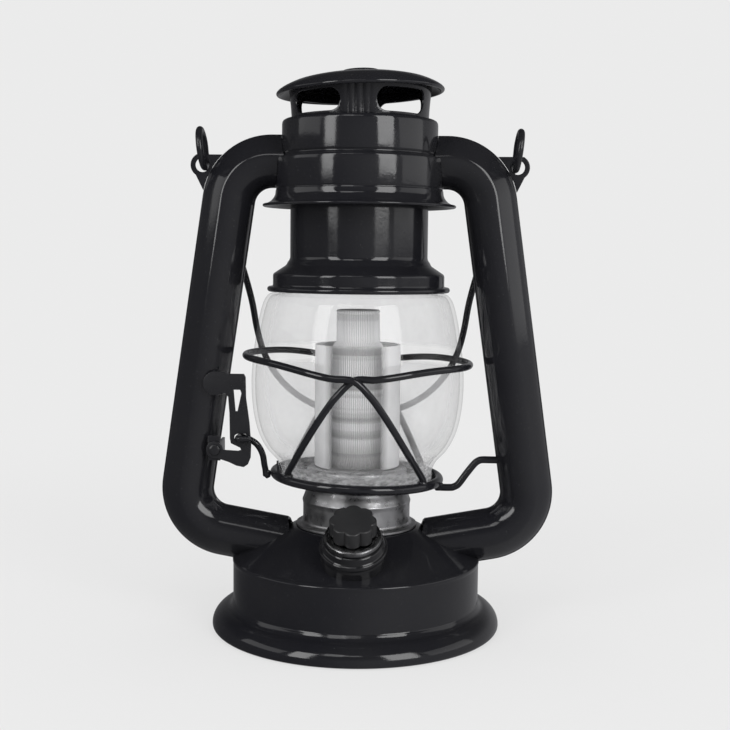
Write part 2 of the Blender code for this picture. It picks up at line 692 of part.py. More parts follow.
def rods():
    """The right rod slides in the tube's slot.

    The left one passes through the lever's slot and is bent over in front of it.
    """
    under = PLATE_RIM_Z - PLATE_RIM_R * CARRIER_SAG - PLATE_RIM_BEAD - GAP - 1.5
    right = [(61.0, 0.0, ROD_Z), (52.4, 0.0, ROD_Z), (50.6, 0.0, ROD_Z - 0.5),
             (48.8, 0.0, ROD_Z - 2.0), (42.6, 0.0, under + 1.6), (40.8, 0.0, under + 0.4),
             (39.0, 0.0, under), (33.2, 0.0, under)]
    wire("lift_rod_right", right, 1.5, enamel("rod"))
    hook_x, hook_z = LEVER_ROD
    inside = LEVER_Y + LEVER_THICK / 2.0
    front = LEVER_Y - LEVER_THICK / 2.0 - 2.2
    left = [(-37.6, -4.6, 63.0), (-37.8, -4.8, 65.4), (-38.2, -5.6, 68.0), (-38.6, -6.6, 71.4),
            (-39.6, -7.2, 74.2), (-41.2, -7.8, 76.6), (-43.4, -8.1, hook_z - 1.4),
            (-46.0, -8.3, hook_z - 0.3), (hook_x + 0.4, -8.8, hook_z),
            (hook_x, inside + 1.6, hook_z), (hook_x, front + 1.2, hook_z),
            (hook_x + 0.5, front + 0.2, hook_z), (hook_x + 1.6, front, hook_z),
            (hook_x + 4.6, front, hook_z)]
    wire("lift_rod_left", left, 1.3, enamel("rod"))


# ---- lift lever ---------------------------------------------------------------------------
def lever():
    px, pz = LEVER_PIVOT
    rx, rz = LEVER_ROD
    outline = [(-42.9, 77.0), (-43.6, 86.0), (-45.0, 96.0), (-45.2, 105.0), (-45.8, 105.9),
               (-52.4, 105.9), (-54.6, 106.6)]
    outline += arc((-57.7, 101.9), 4.9, 75.0, 262.0, 7)
    outline += [(-56.4, 97.2), (-53.6, 98.2), (-52.3, 96.4), (-51.8, 90.0), (-51.6, 79.4),
                (-51.2, 77.4), (-47.4, 75.6), (-47.0, 74.7), (-48.2, 74.3), (-54.2, 74.6)]
    outline += arc((px, pz), 3.5, 15.0, 285.0, 8)
    outline += [(-52.0, 69.6), (-49.0, 68.2), (-45.9, 67.6), (-44.2, 68.8), (-43.1, 71.6)]
    outline = [(x - px, z - pz) for x, z in outline]
    slot_left = rx - px - 1.65
    slot_right = slot_left + 5.75
    middle = rz - pz + 0.1
    slot = arc((slot_left + 1.65, middle), 1.65, 90.0, 270.0, 5)
    slot += arc((slot_right - 1.65, middle), 1.65, -90.0, 90.0, 5)
    window = [(-50.1, 99.4), (-47.4, 99.4), (-46.9, 98.0), (-48.5, 90.6), (-49.3, 90.6)]
    window = [(x - px, z - pz) for x, z in window]
    eye = circle((0.0, 0.0), 1.56, 16)
    flat("lift_lever", outline, LEVER_THICK, enamel("lever"), holes=(slot, window, eye),
         origin=(px, LEVER_Y, pz), turn=(math.radians(90.0), 0.0, 0.0))

    bracket_y = LEVER_Y + LEVER_THICK / 2.0 + GAP
    bracket = box("lever_bracket", (px - 2.9, bracket_y, pz - 4.6),
                  (px + 2.2, bracket_y + 1.0, pz + 5.6), enamel("bracket"))
    web = box("join_bracket_web", (px + 1.1, bracket_y + 0.4, pz - 3.0), (px + 2.2, 3.0, pz + 3.0), None)
    join(bracket, web)
    pin_head_y = LEVER_Y - LEVER_THICK / 2.0 - GAP
    pin = rod("lever_pin", (px, bracket_y - GAP, pz), (px, pin_head_y, pz), 1.5, bare_steel("pin"), 20)
    head = rod("join_pin_head", (px, pin_head_y + 0.05, pz), (px, pin_head_y - 0.9, pz), 2.5, None, 20)
    join(pin, head)


# ---- side tubes ---------------------------------------------------------------------------
def tube_path():
    """Centre line of the right-hand tube in X and Z, from the hood down to the base."""
    lean = math.radians(TUBE_LEAN)
    slope = math.radians(TUBE_LOWER_SLOPE)
    bend = TUBE_BEND_R
    top_z = TUBE_RUN_Z - bend
    spread = math.tan(lean)
    top_x = (TUBE_X_AT_TOP + (TUBE_X_TOP_Z - top_z) * spread) - bend / math.cos(lean)
    path = [(HOOD_UPPER_R - 4.0, TUBE_RUN_Z)]
    path += arc((top_x, top_z), bend, 90.0, TUBE_LEAN, 7)
    low_x, low_z = lower_bend_centre(lean, slope, bend)
    path += arc((low_x, low_z), bend, TUBE_LEAN, -90.0 + TUBE_LOWER_SLOPE, 7)
    end_x, end_z = path[-1]
    reach = end_x - (BURNER_FLANGE_R + 2.6)
    path.append((end_x - reach, end_z - reach * math.tan(slope)))
    return path


def lower_bend_centre(lean, slope, bend):
    """Centre of the bottom bend: one bend radius inside both straight runs."""
    side_x = TUBE_X_AT_TOP + TUBE_X_TOP_Z * math.tan(lean) - bend / math.cos(lean)
    floor_z = TUBE_LOWER_Z - DRUM_R * math.tan(slope) + bend / math.cos(slope)
    z = (floor_z + side_x * math.tan(slope)) / (1.0 + math.tan(lean) * math.tan(slope))
    return side_x - z * math.tan(lean), z


def half_section(depth_sign):
    """Closed C-shaped section of one stamping, open towards the seam."""
    outer = [(TUBE_HALF_WIDTH * math.cos(math.radians(a)),
              SEAM_HALF + (TUBE_HALF_DEPTH - SEAM_HALF) * math.sin(math.radians(a)))
             for a in range(0, 181, 20)]
    inner = [((TUBE_HALF_WIDTH - SHEET) * math.cos(math.radians(a)),
              SEAM_HALF + (TUBE_HALF_DEPTH - SHEET - SEAM_HALF) * math.sin(math.radians(a)))
             for a in range(180, -1, -36)]
    return [(x, y * depth_sign) for x, y in outer + inner]


def tube_half(name, side, facing, tools):
    """One stamping; facing is -1 for the front and 1 for the back."""
    section = bpy.data.curves.new(name + "_section", "CURVE")
    section.dimensions = "2D"
    ring = section.splines.new("POLY")
    points = half_section(-facing)
    ring.points.add(len(points) - 1)
    for spot, point in zip(ring.points, points):
        spot.co = (point[0] * MM, point[1] * MM, 0.0, 1.0)
    ring.use_cyclic_u = True
    pattern = bpy.data.objects.new(name + "_section", section)
    cutters.objects.link(pattern)

    curve = bpy.data.curves.new(name, "CURVE")
    curve.dimensions = "2D"
    curve.fill_mode = "NONE"
    curve.bevel_mode = "OBJECT"
    curve.bevel_object = pattern
    curve.use_fill_caps = True
    spline = curve.splines.new("POLY")
    path = tube_path()
    spline.points.add(len(path) - 1)
    for spot, point in zip(spline.points, path):
        spot.co = (side * point[0] * MM, point[1] * MM, 0.0, 1.0)
    made = new_object(name, curve, enamel(name))
    made.rotation_euler = (math.radians(90.0), 0.0, 0.0)
    bpy.context.view_layer.update()
    made = curve_to_mesh(made)
    bpy.data.objects.remove(pattern, do_unlink=True)
    cut(made, *tools)
    return made


def side_tubes():
    base_tool = base_solid("cut_base")
    hood_tool = turned("cut_hood", [(0.0, HOOD_TOP_Z + 6.0), (HOOD_UPPER_R + GAP, HOOD_TOP_Z + 6.0),
                       (HOOD_UPPER_R + GAP, HOOD_STEP_Z + 1.3), (HOOD_LOWER_R + GAP + 0.5, HOOD_STEP_Z),
                       (HOOD_LOWER_R + GAP, HOOD_STEP_Z - 1.2), (HOOD_LOWER_R + GAP, 181.0),
                       (HOOD_LOWER_R + 3.0, 177.0), (0.0, 177.0)], None, closed=False)
    slot = box("cut_rod_slot", (53.0, -1.9, ROD_Z - 2.0), (62.5, 1.9, ROD_Z + LIFT + 2.0), None)
    for side, word in ((-1, "left"), (1, "right")):
        tools = [base_tool, hood_tool]
        if side > 0:
            tools.append(slot)
        tube_half("tube_%s_front" % word, side, -1, tools)
        tube_half("tube_%s_back" % word, side, 1, tools)
        ear(word, side)


def ear(word, side):
    """The flat lug that stands out of the tube's seam and takes the bail's hook."""
    lean = math.radians(TUBE_LEAN)
    top_z = TUBE_RUN_Z - TUBE_BEND_R
    top_x = (TUBE_X_AT_TOP + (TUBE_X_TOP_Z - top_z) * math.tan(lean)) - TUBE_BEND_R / math.cos(lean)
    outline = arc((top_x, top_z), TUBE_BEND_R + TUBE_HALF_WIDTH + GAP + 0.1, 12.0, 45.0, 6)
    shoulder = math.degrees(math.asin((EAR_TOP_Z - EAR_HOLE_Z) / EAR_R))
    outline.append((57.4, EAR_TOP_Z))
    outline += arc((EAR_HOLE_X, EAR_HOLE_Z), EAR_R, shoulder, -55.0, 7)
    outline = [(side * x, z) for x, z in outline]
    hole = circle((side * EAR_HOLE_X, EAR_HOLE_Z), EAR_HOLE_R, 16)
    flat("ear_" + word, outline, EAR_THICK, enamel("ear"), holes=(hole,),
         turn=(math.radians(90.0), 0.0, 0.0))


# ---- hood, crown and cap ------------------------------------------------------------------
def hood():
    outer = [(25.6, HOOD_TOP_Z), (HOOD_UPPER_R - 2.6, HOOD_TOP_Z),
             (HOOD_UPPER_R - 0.8, HOOD_TOP_Z - 0.9), (HOOD_UPPER_R, HOOD_TOP_Z - 2.8),
             (HOOD_UPPER_R, HOOD_STEP_Z + 1.4), (HOOD_UPPER_R + 1.6, HOOD_STEP_Z + 0.6),
             (HOOD_LOWER_R, HOOD_STEP_Z - 1.0), (HOOD_LOWER_R, 181.0),
             (HOOD_LOWER_R + 0.3, 178.6), (HOOD_LOWER_R + 1.2, 176.9),
             (HOOD_LOWER_R + 2.8, 175.5), (HOOD_LIP_R - 0.3, 174.6),
             (HOOD_LIP_R, HOOD_LIP_Z + 0.3), (HOOD_LIP_R - 0.3, HOOD_LIP_Z)]
    inner = [(HOOD_LIP_R - 1.1, HOOD_LIP_Z), (HOOD_LOWER_R + 2.3, 174.6),
             (HOOD_LOWER_R + 0.6, 176.1), (HOOD_LOWER_R - 0.5, 178.1),
             (HOOD_LOWER_R - SHEET, 180.6),
             (HOOD_LOWER_R - SHEET, HOOD_STEP_Z - 1.4),
             (HOOD_UPPER_R - SHEET, HOOD_STEP_Z - 0.2),
             (HOOD_UPPER_R - SHEET, HOOD_TOP_Z - 2.6),
             (HOOD_UPPER_R - 2.8, HOOD_TOP_Z - SHEET), (25.6, HOOD_TOP_Z - SHEET)]
    turned("hood", outer + inner, enamel("hood"))


def crown():
    """The slotted ring under the cap: narrow legs at the front and back and wide ones at the sides."""
    low = HOOD_TOP_Z + GAP
    middle = (low + CROWN_TOP_Z) / 2.0
    middle_r = (CROWN_FOOT_R + CROWN_R) / 2.0 - 0.2
    lip_r = CROWN_FOOT_R - SHEET - 1.0
    line = [(CROWN_R + 0.1, CROWN_TOP_Z), (middle_r, middle), (CROWN_FOOT_R, low), (lip_r, low),
            (lip_r, low + 0.8), (CROWN_FOOT_R - SHEET, low + 0.9), (middle_r - SHEET, middle),
            (CROWN_R - SHEET + 0.1, CROWN_TOP_Z)]
    ring = slanted(turned("crown", line, enamel("crown")), CAP_SLANT, low, CROWN_TOP_Z)
    for side in (90.0, 270.0):
        for turn in (-CROWN_WINDOW_TURN, CROWN_WINDOW_TURN):
            window = box("cut_window", (CROWN_R - 14.0, -CROWN_WINDOW_HALF, low + 1.3),
                         (CROWN_R + 6.0, CROWN_WINDOW_HALF, CROWN_WINDOW_TOP_Z), None, bevel=3.4,
                         origin=(0.0, 0.0, 0.0))
            window.rotation_euler = (0.0, 0.0, math.radians(side + turn))
            cut(ring, window)


def cap():
    """A full dome with a shallow dished seat in its middle for the disc."""
    seat_z = CAP_TOP_Z - 0.6
    outer = [(0.0, seat_z), (FINIAL_R + 0.7, seat_z), (FINIAL_R + 1.5, CAP_TOP_Z),
             (12.5, CAP_TOP_Z - 0.2), (19.0, CAP_TOP_Z - 1.1), (26.0, CAP_TOP_Z - 2.9),
             (31.0, CAP_TOP_Z - 5.1), (CAP_R - 0.8, CAP_RIM_Z + 1.7), (CAP_R, CAP_RIM_Z + 0.4),
             (CAP_R - 0.6, CAP_RIM_Z - 0.5)]
    inner = [(CAP_R - 1.4, CAP_RIM_Z + 0.2), (CAP_R - 3.8, CAP_TOP_Z - 5.9),
             (25.6, CAP_TOP_Z - 3.8), (18.8, CAP_TOP_Z - 2.0), (12.4, CAP_TOP_Z - 1.1),
             (FINIAL_R + 1.4, CAP_TOP_Z - 1.0), (FINIAL_R + 0.7, seat_z - SHEET), (0.0, seat_z - SHEET)]
    slanted(turned("cap", outer + inner, enamel("cap"), closed=False), CAP_SLANT)
    low = seat_z + GAP
    top = low + 1.4
    disc = [(0.0, top), (FINIAL_R - 1.0, top), (FINIAL_R, top - 0.6), (FINIAL_R, low), (0.0, low)]
    slanted(turned("cap_disc", disc, enamel("disc"), steps=ROUND_SMALL, closed=False), CAP_SLANT)


# ---- bail ---------------------------------------------------------------------------------
def bail():
    """The carrying handle at rest, hanging behind; its origin is on the hooks' common axis."""
    lean = math.radians(BAIL_LEAN)
    out = Vector((0.0, math.cos(lean), math.sin(lean)))
    down = Vector((0.0, math.sin(lean), -math.cos(lean)))
    arm = [(64.2, 7.0), (61.8, 16.0), (57.4, 32.0), (51.6, 51.0), (47.6, 68.0), (45.6, 82.0),
           (43.0, 93.0), (38.6, 102.4), (32.4, 110.4), (24.6, 116.6), (15.6, 120.8), (5.4, 122.8)]
    hook_steps = 11
    hook_end = 302.0
    half = []
    for index in range(hook_steps + 1):
        turn = math.radians(hook_end + (BAIL_LEAN - hook_end) * index / hook_steps)
        height = BAIL_RING_R * math.sin(turn)
        half.append((EAR_HOLE_X + BAIL_RING_SPLAY * height, BAIL_RING_R * math.cos(turn), height))
    for x, along in arm:
        spot = out * BAIL_RING_R + down * along
        half.append((x, spot[1], spot[2]))
    other = [(-x, y, z) for x, y, z in reversed(half)]
    wire("bail", half + other, WIRE_R, enamel("bail"), origin=(0.0, 0.0, BAIL_AXIS_Z))


base()
dimmer()
battery_bay()
cells_and_contacts()
burner()
light()
wiring()
globe()
chimney()
globe_plate()
guard_wire("guard_wire_inner", 1, 45.9)
guard_wire("guard_wire_outer", -1, 49.1)
rods()
lever()
side_tubes()
hood()
crown()
cap()
bail()
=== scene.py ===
"""Looks of the battery barn lantern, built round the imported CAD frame.

Lengths below are in millimetres and angles in degrees, in the CAD's own frame: the origin is the
centre of the foot, +Z is up, -Y is the front with the dimmer knob and -X the side with the lever.
"""
import math

import bmesh
import bpy
from mathutils import Matrix, Vector

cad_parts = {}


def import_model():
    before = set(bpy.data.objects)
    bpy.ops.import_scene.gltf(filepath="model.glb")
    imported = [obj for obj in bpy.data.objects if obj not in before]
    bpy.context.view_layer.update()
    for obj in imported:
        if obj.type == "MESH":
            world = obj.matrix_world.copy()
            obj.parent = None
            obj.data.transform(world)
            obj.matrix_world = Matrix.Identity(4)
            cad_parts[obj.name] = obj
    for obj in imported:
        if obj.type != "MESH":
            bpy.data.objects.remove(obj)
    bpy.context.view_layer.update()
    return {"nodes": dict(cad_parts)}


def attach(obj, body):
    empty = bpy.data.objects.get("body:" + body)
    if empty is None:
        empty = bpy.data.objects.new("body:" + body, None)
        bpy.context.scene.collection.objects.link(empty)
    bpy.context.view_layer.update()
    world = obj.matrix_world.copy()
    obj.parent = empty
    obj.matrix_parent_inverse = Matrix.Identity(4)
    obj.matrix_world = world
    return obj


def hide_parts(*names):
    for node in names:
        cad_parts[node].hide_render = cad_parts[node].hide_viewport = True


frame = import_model()

MM = 0.001
SHEET = 0.9
TURNS = 144                  # sides of a large turned piece
WIRE_SIDES = 16

# ---- dimensions that follow the CAD ---------------------------------------------------------
FOOT_R = 59.9
DRUM_R = 51.4
DRUM_FOOT_Z = 9.4
DRUM_TOP_Z = 28.5
DOME_MOUTH_R = 21.0
DOME_FLAT_R = 25.8
DOME_SLOPE = math.radians(28.0)

BURNER_FLANGE_R = 25.2
BURNER_R = 22.4
BURNER_NECK_R = 20.8
BURNER_TOP_Z = 67.0

PLATE_RIM_R = 34.2
PLATE_RIM_Z = 63.0
PLATE_BEAD = 1.9
PLATE_HOLE_R = 21.6
CARRIER_SAG = 0.035          # fall of the plate and guard per millimetre to the right

CHIMNEY_R = 28.25
CHIMNEY_TOP_Z = 186.0
COLLAR_R = 35.3
COLLAR_Z = 140.4

HOOD_LIP_R = 39.6
HOOD_LIP_Z = 173.8
HOOD_LOWER_R = 34.2
HOOD_UPPER_R = 31.8
HOOD_STEP_Z = 193.0
HOOD_TOP_Z = 208.8

CROWN_R = 28.4               # at the top; the ring narrows down to its foot
CROWN_FOOT_R = 27.0
CROWN_TOP_Z = 222.8
CAP_R = 34.2
CAP_RIM_Z = 219.8
CAP_TOP_Z = 228.1
CAP_SLANT = 0.04             # rise of the cap per millimetre to the right
DISC_R = 7.9

TUBE_HALF_WIDTH = 10.8
TUBE_HALF_DEPTH = 10.2
TUBE_RUN_Z = 192.3
TUBE_LEAN = math.radians(8.2)
TUBE_X_AT_TOP = 54.2
TUBE_X_TOP_Z = 172.9
TUBE_BEND_R = 18.0
TUBE_BEND_Z = TUBE_RUN_Z - TUBE_BEND_R       # middle of the upper bend
TUBE_SIDE_X = TUBE_X_AT_TOP + TUBE_X_TOP_Z * math.tan(TUBE_LEAN) - TUBE_BEND_R / math.cos(TUBE_LEAN)
TUBE_BEND_X = TUBE_SIDE_X - TUBE_BEND_Z * math.tan(TUBE_LEAN)
TUBE_LOWER_Z = 38.0
TUBE_LOWER_SLOPE = math.radians(10.2)
TUBE_END_R = 28.4            # where the lower runs stop, short of the burner
TUBE_CREASE = 2.4            # the pressed crease, out from the middle of the stamping
TUBE_FLAT = 0.6              # how flat the stamping is from the crease to its outer seam

EAR_HOLE = (64.5, 190.6)
EAR_HOLE_R = 2.9
EAR_R = 4.9
EAR_TOP_Z = 194.9

WIRE_R = 1.4
BAIL_RING_R = 7.6
BAIL_RING_SPLAY = 0.12
BAIL_LEAN = 18.0
BAIL_DROP = 0.9
BAIL_AXIS_Z = EAR_HOLE[1] - BAIL_DROP + BAIL_RING_R

ROD_Z = 70.0
LEVER_Y = -11.9
LEVER_PIVOT = (-57.9, 74.6)
LEVER_ROD = (-48.2, 79.6)

KNOB_TILT = math.radians(28.0)
KNOB_AXIS = (0.0, -36.6, 36.7)
BOSS_R = 13.4
BOSS_TOP = 9.6
BEZEL_TOP = 12.2
KNOB_UNDER = 12.7
KNOB_FACE = 19.4
KNOB_R = 9.1
KNOB_LOBES = 8

LENS_TOP_Z = 132.0
LENS_TIP_R = 9.0
LENS_R = 10.7
SLEEVE_R = 17.7
SLEEVE_TOP_Z = 117.8
POST_FACE = 3.6

GLOBE_LINE = ((31.2, 62.4), (31.4, 66.0), (33.3, 70.0), (37.7, 75.0), (41.2, 82.0),
              (43.2, 91.0), (43.9, 101.5), (43.3, 112.0), (42.0, 122.0), (40.5, 130.0),
              (38.9, 135.4), (37.1, 138.0), (35.4, 138.8), (33.6, 139.4), (33.4, 145.4))
GLOBE_WALL = 1.5
GLOBE_HAZE = 0.32            # how much the back of the globe veils what is behind it
GUARD_RING_Z = 111.5


# ---- procedural materials --------------------------------------------------------------------
class Graph:
    """A node tree with short ways to add nodes whose inputs are numbers, colours or sockets."""

    def __init__(self, tree):
        self.tree = tree

    def feed(self, source, socket):
        """Links an output to the socket, or sets the socket to a number or a colour."""
        if isinstance(source, bpy.types.NodeSocket):
            self.tree.links.new(source, socket)
        elif isinstance(source, tuple) and socket.type == "RGBA":
            socket.default_value = (*source, 1.0)
        else:
            socket.default_value = source

    def node(self, kind, *sources, **values):
        """A new node with those settings, its first inputs fed from the sources."""
        made = self.tree.nodes.new(kind)
        for key, value in values.items():
            setattr(made, key, value)
        for socket, source in zip(made.inputs, sources):
            self.feed(source, socket)
        return made

    def shader_mix(self, factor, first, second):
        return self.node("ShaderNodeMixShader", factor, first, second).outputs[0]

    def maths(self, how, *sources):
        return self.node("ShaderNodeMath", *sources, operation=how).outputs["Value"]

    def apart(self, place):
        """The X, Y and Z of a vector."""
        return self.node("ShaderNodeSeparateXYZ", place).outputs

    def span(self, source, low, high, start=0.35, end=0.65, curve="LINEAR"):
        """The source's range from start to end stretched to run from low to high."""
        made = self.node("ShaderNodeMapRange", source, start, end, low, high, interpolation_type=curve)
        return made.outputs["Result"]


class Paint(Graph):
    """A Principled material whose colour, roughness and relief come from noise in object space."""

    def __init__(self, name):
        self.mat = bpy.data.materials.new(name)
        self.mat.use_nodes = True
        super().__init__(self.mat.node_tree)
        self.shader = self.tree.nodes["Principled BSDF"]
        self.place = self.node("ShaderNodeTexCoord").outputs["Object"]
        self.relief = None

    def set(self, **values):
        for key, value in values.items():
            self.shader.inputs[key.replace("_", " ")].default_value = value

    def noise(self, size_mm, detail=3.0, stretch=(1.0, 1.0, 1.0)):
        """Noise with features of about that size; stretch squeezes it along each axis."""
        place = self.place
        if stretch != (1.0, 1.0, 1.0):
            mapping = self.node("ShaderNodeMapping", place)
            mapping.inputs["Scale"].default_value = stretch
            place = mapping.outputs["Vector"]
        made = self.node("ShaderNodeTexNoise", place)
        made.inputs["Scale"].default_value = 1.0 / (size_mm * MM)
        made.inputs["Detail"].default_value = detail
        return made.outputs["Fac"]

    def ramp(self, source, low, high, start=0.3, end=0.7):
        """A blend from one colour to the other over the middle of the source's range."""
        made = self.node("ShaderNodeValToRGB", source)
        for point, spot, colour in zip(made.color_ramp.elements, (start, end), (low, high)):
            point.position = spot
            point.color = (*colour, 1.0)
        return made.outputs["Color"]

    def mixed(self, factor, first, second):
        made = self.node("ShaderNodeMix", data_type="RGBA")
        for value, name in ((factor, "Factor"), (first, "A"), (second, "B")):
            self.feed(value, made.inputs[name])
        return made.outputs["Result"]

    def finish(self, colour, rough):
        """Sets the colour and the roughness and returns the material."""
        self.feed(colour, self.shader.inputs["Base Color"])
        self.feed(rough, self.shader.inputs["Roughness"])
        return self.mat

    def bump(self, source, height_mm, strength=1.0):
        made = self.node("ShaderNodeBump", strength, height_mm * MM)
        self.feed(source, made.inputs["Height"])
        if self.relief is not None:
            self.feed(self.relief, made.inputs["Normal"])
        self.relief = made.outputs["Normal"]
        self.feed(self.relief, self.shader.inputs["Normal"])

    def edges(self, low, high):
        """1 on convex edges, 0 elsewhere, broken up by noise."""
        sharp = self.node("ShaderNodeNewGeometry").outputs["Pointiness"]
        mask = self.span(sharp, 0.0, 1.0, low, high)
        return self.maths("MULTIPLY", mask, self.span(self.noise(2.2, 5.0), 0.0, 1.0, 0.45, 0.62))


def enamel(name, tone=1.0, gloss=0.10):
    """Stoved black enamel: a little blue, slightly uneven gloss, dust, and lighter on its convex edges."""
    paint = Paint(name)
    body = paint.ramp(paint.noise(34.0), (0.0088 * tone, 0.0089 * tone, 0.0112 * tone),
                      (0.0125 * tone, 0.0125 * tone, 0.0142 * tone))
    dust = paint.span(paint.noise(0.55, 2.0), 0.0, 0.5, 0.70, 0.78)
    dusty = paint.mixed(dust, body, (0.06, 0.06, 0.062))
    # lighter on convex edges, broken up by noise
    edge_lightened = paint.mixed(paint.edges(0.56, 0.68), dusty, (0.045, 0.045, 0.048))
    uneven = paint.span(paint.noise(11.0, 4.0), gloss - 0.03, gloss + 0.04)
    paint.bump(paint.noise(1.1, 2.0), 0.010)
    paint.bump(paint.noise(16.0, 1.0), 0.05, 0.5)
    return paint.finish(edge_lightened, paint.maths("ADD", uneven, paint.maths("MULTIPLY", dust, 0.5)))


def sheet_metal(name, low, high, gloss, grain=(1.0, 1.0, 1.0), blotch_mm=7.0):
    """Plated sheet: cloudy tone, fine drawing marks and a few duller blotches."""
    paint = Paint(name)
    cloud = paint.ramp(paint.noise(blotch_mm, 5.0), (low, low, low * 1.01), (high, high, high * 1.02),
                       0.32, 0.66)
    stain = paint.span(paint.noise(2.4, 6.0), 0.0, 0.4, 0.60, 0.78)
    paint.bump(paint.noise(0.5, 2.0, grain), 0.012)
    paint.set(Metallic=1.0)
    return paint.finish(paint.mixed(stain, cloud, (low * 0.6, low * 0.6, low * 0.6)),
                        paint.span(paint.noise(3.1, 5.0), gloss - 0.09, gloss + 0.12))


def moulding(name, low, high, gloss=0.45, grain_mm=0.35, depth_mm=0.02):
    """Moulded plastic with a fine spark-eroded grain and polished-in handling marks."""
    paint = Paint(name)
    paint.bump(paint.noise(grain_mm, 2.0), depth_mm)
    return paint.finish(paint.ramp(paint.noise(14.0), low, high),
                        paint.span(paint.noise(6.0, 4.0), gloss - 0.08, gloss + 0.08))


def clear_paint(name):
    """A Paint without its Principled shader, and the X, Y and Z of the surface."""
    paint = Paint(name)
    paint.tree.nodes.remove(paint.shader)
    return paint, paint.apart(paint.place)


def slant(paint, normal=None):
    """0 where the surface is seen face on, rising to 1 where it is seen edge on from either side."""
    made = paint.node("ShaderNodeLayerWeight", 0.5)
    if normal is not None:
        paint.feed(normal, made.inputs["Normal"])
    return made.outputs["Facing"]


MIRROR_FACE_ON = 0.015       # share of a clear wall's light that it mirrors
MIRROR_EDGE_ON = 0.2


def glossed(paint, below, gloss_low, gloss_high):
    """The finished surface: that shader under a clear mirror coat with slight ripples."""
    ripple = paint.node("ShaderNodeBump", 0.6, 0.05 * MM)
    paint.feed(paint.noise(13.0, 2.0), ripple.inputs["Height"])
    shine = paint.node("ShaderNodeBsdfGlossy")
    paint.feed(paint.span(paint.noise(5.0, 4.0), gloss_low, gloss_high), shine.inputs["Roughness"])
    paint.feed(ripple.outputs["Normal"], shine.inputs["Normal"])
    steep = paint.maths("POWER", slant(paint, ripple.outputs["Normal"]), 5.0)
    share = paint.maths("ADD", paint.maths("MULTIPLY", steep, MIRROR_EDGE_ON), MIRROR_FACE_ON)
    both = paint.shader_mix(share, below, shine.outputs[0])
    paint.feed(both, paint.tree.nodes["Material Output"].inputs["Surface"])
    return paint.mat


def soaked(paint, colour, front_share):
    """A white that light soaks through: partly lit from behind and partly from the front."""
    behind = paint.node("ShaderNodeBsdfTranslucent", colour).outputs[0]
    face = paint.node("ShaderNodeBsdfDiffuse", colour).outputs[0]
    return paint.shader_mix(front_share, behind, face)


def milky(paint, tone, front_share):
    """A soaked white with a faint cloud in it."""
    cloud = paint.ramp(paint.noise(6.0, 4.0), (tone * 0.95, tone * 0.95, tone * 0.96),
                       (tone, tone, tone * 1.01))
    return soaked(paint, cloud, front_share)


def see_through(paint, clear, edge, sharpness):
    """What is behind, tinted, and darker where the wall is seen edge on."""
    smoke = paint.span(paint.noise(9.0, 4.0, (1.0, 1.0, 0.35)), 0.0, 1.0)
    smoky = paint.mixed(smoke, (clear, clear, clear), (clear * 0.985, clear * 0.985, clear * 0.985))
    tint = paint.mixed(paint.maths("POWER", slant(paint), sharpness), smoky, (edge, edge, edge))
    return paint.node("ShaderNodeBsdfTransparent", tint).outputs[0]


def globe_glass():
    """Thin clear glass: hazy round the back, with a thick foot that shows seeds and smears."""
    paint, place = clear_paint("globe_glass")
    foot = paint.span(place["Z"], 0.62, 0.0, (PLATE_RIM_Z + 1.0) * MM, (PLATE_RIM_Z + 9.0) * MM)
    smears = paint.span(paint.noise(3.2, 5.0, (1.0, 1.0, 2.4)), 0.45, 1.3, 0.40, 0.60)
    back = paint.span(place["Y"], 0.0, GLOBE_HAZE, 4.0 * MM, 20.0 * MM)
    level = paint.maths("ABSOLUTE", paint.maths("SUBTRACT", place["Z"], GUARD_RING_Z * MM))
    clear_band = paint.span(level, 0.0, 1.0, 3.0 * MM, 5.0 * MM)
    cloud = paint.span(paint.noise(7.0, 4.0), 0.92, 1.06)
    haze = paint.maths("MULTIPLY", paint.maths("MULTIPLY", back, clear_band), cloud)
    veil = paint.maths("MAXIMUM", haze, paint.maths("MULTIPLY", foot, smears))
    body = paint.shader_mix(veil, see_through(paint, 0.997, 0.90, 5.0), milky(paint, 0.99, 0.15))
    return glossed(paint, body, 0.015, 0.06)


# ---- mesh helpers ----------------------------------------------------------------------------
def finish_mesh(mesh, sharp=38.0):
    shape = bmesh.new()
    shape.from_mesh(mesh)
    bmesh.ops.remove_doubles(shape, verts=shape.verts, dist=0.0008 * MM)
    bmesh.ops.recalc_face_normals(shape, faces=shape.faces)
    shape.to_mesh(mesh)
    shape.free()
    mesh.shade_smooth()
    mesh.set_sharp_from_angle(angle=math.radians(sharp))


def placed(name, data):
    """A new object with that data, in the scene."""
    made = bpy.data.objects.new(name, data)
    bpy.context.scene.collection.objects.link(made)
    return made


def piece(name, mesh, mat, node, body="lantern", sharp=38.0):
    """An object of that mesh that rides on a body and stands for that CAD node."""
    finish_mesh(mesh, sharp)
    made = placed(name, mesh)
    mesh.materials.append(mat)
    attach(made, body)
    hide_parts(node)


def enamelled(name, mesh, node, body="lantern", sharp=38.0, **finish):
    """A piece in black enamel of its own."""
    piece(name, mesh, enamel("enamel_" + node, **finish), node, body, sharp)


def mesh_of(name, verts, faces):
    mesh = bpy.data.meshes.new(name)
    mesh.from_pydata([tuple(value * MM for value in vert) for vert in verts], [], faces)
    return mesh


def arc(centre, radius, start, end, steps):
    points = []
    for index in range(steps + 1):
        angle = math.radians(start + (end - start) * index / steps)
        points.append((centre[0] + radius * math.cos(angle), centre[1] + radius * math.sin(angle)))
    return points


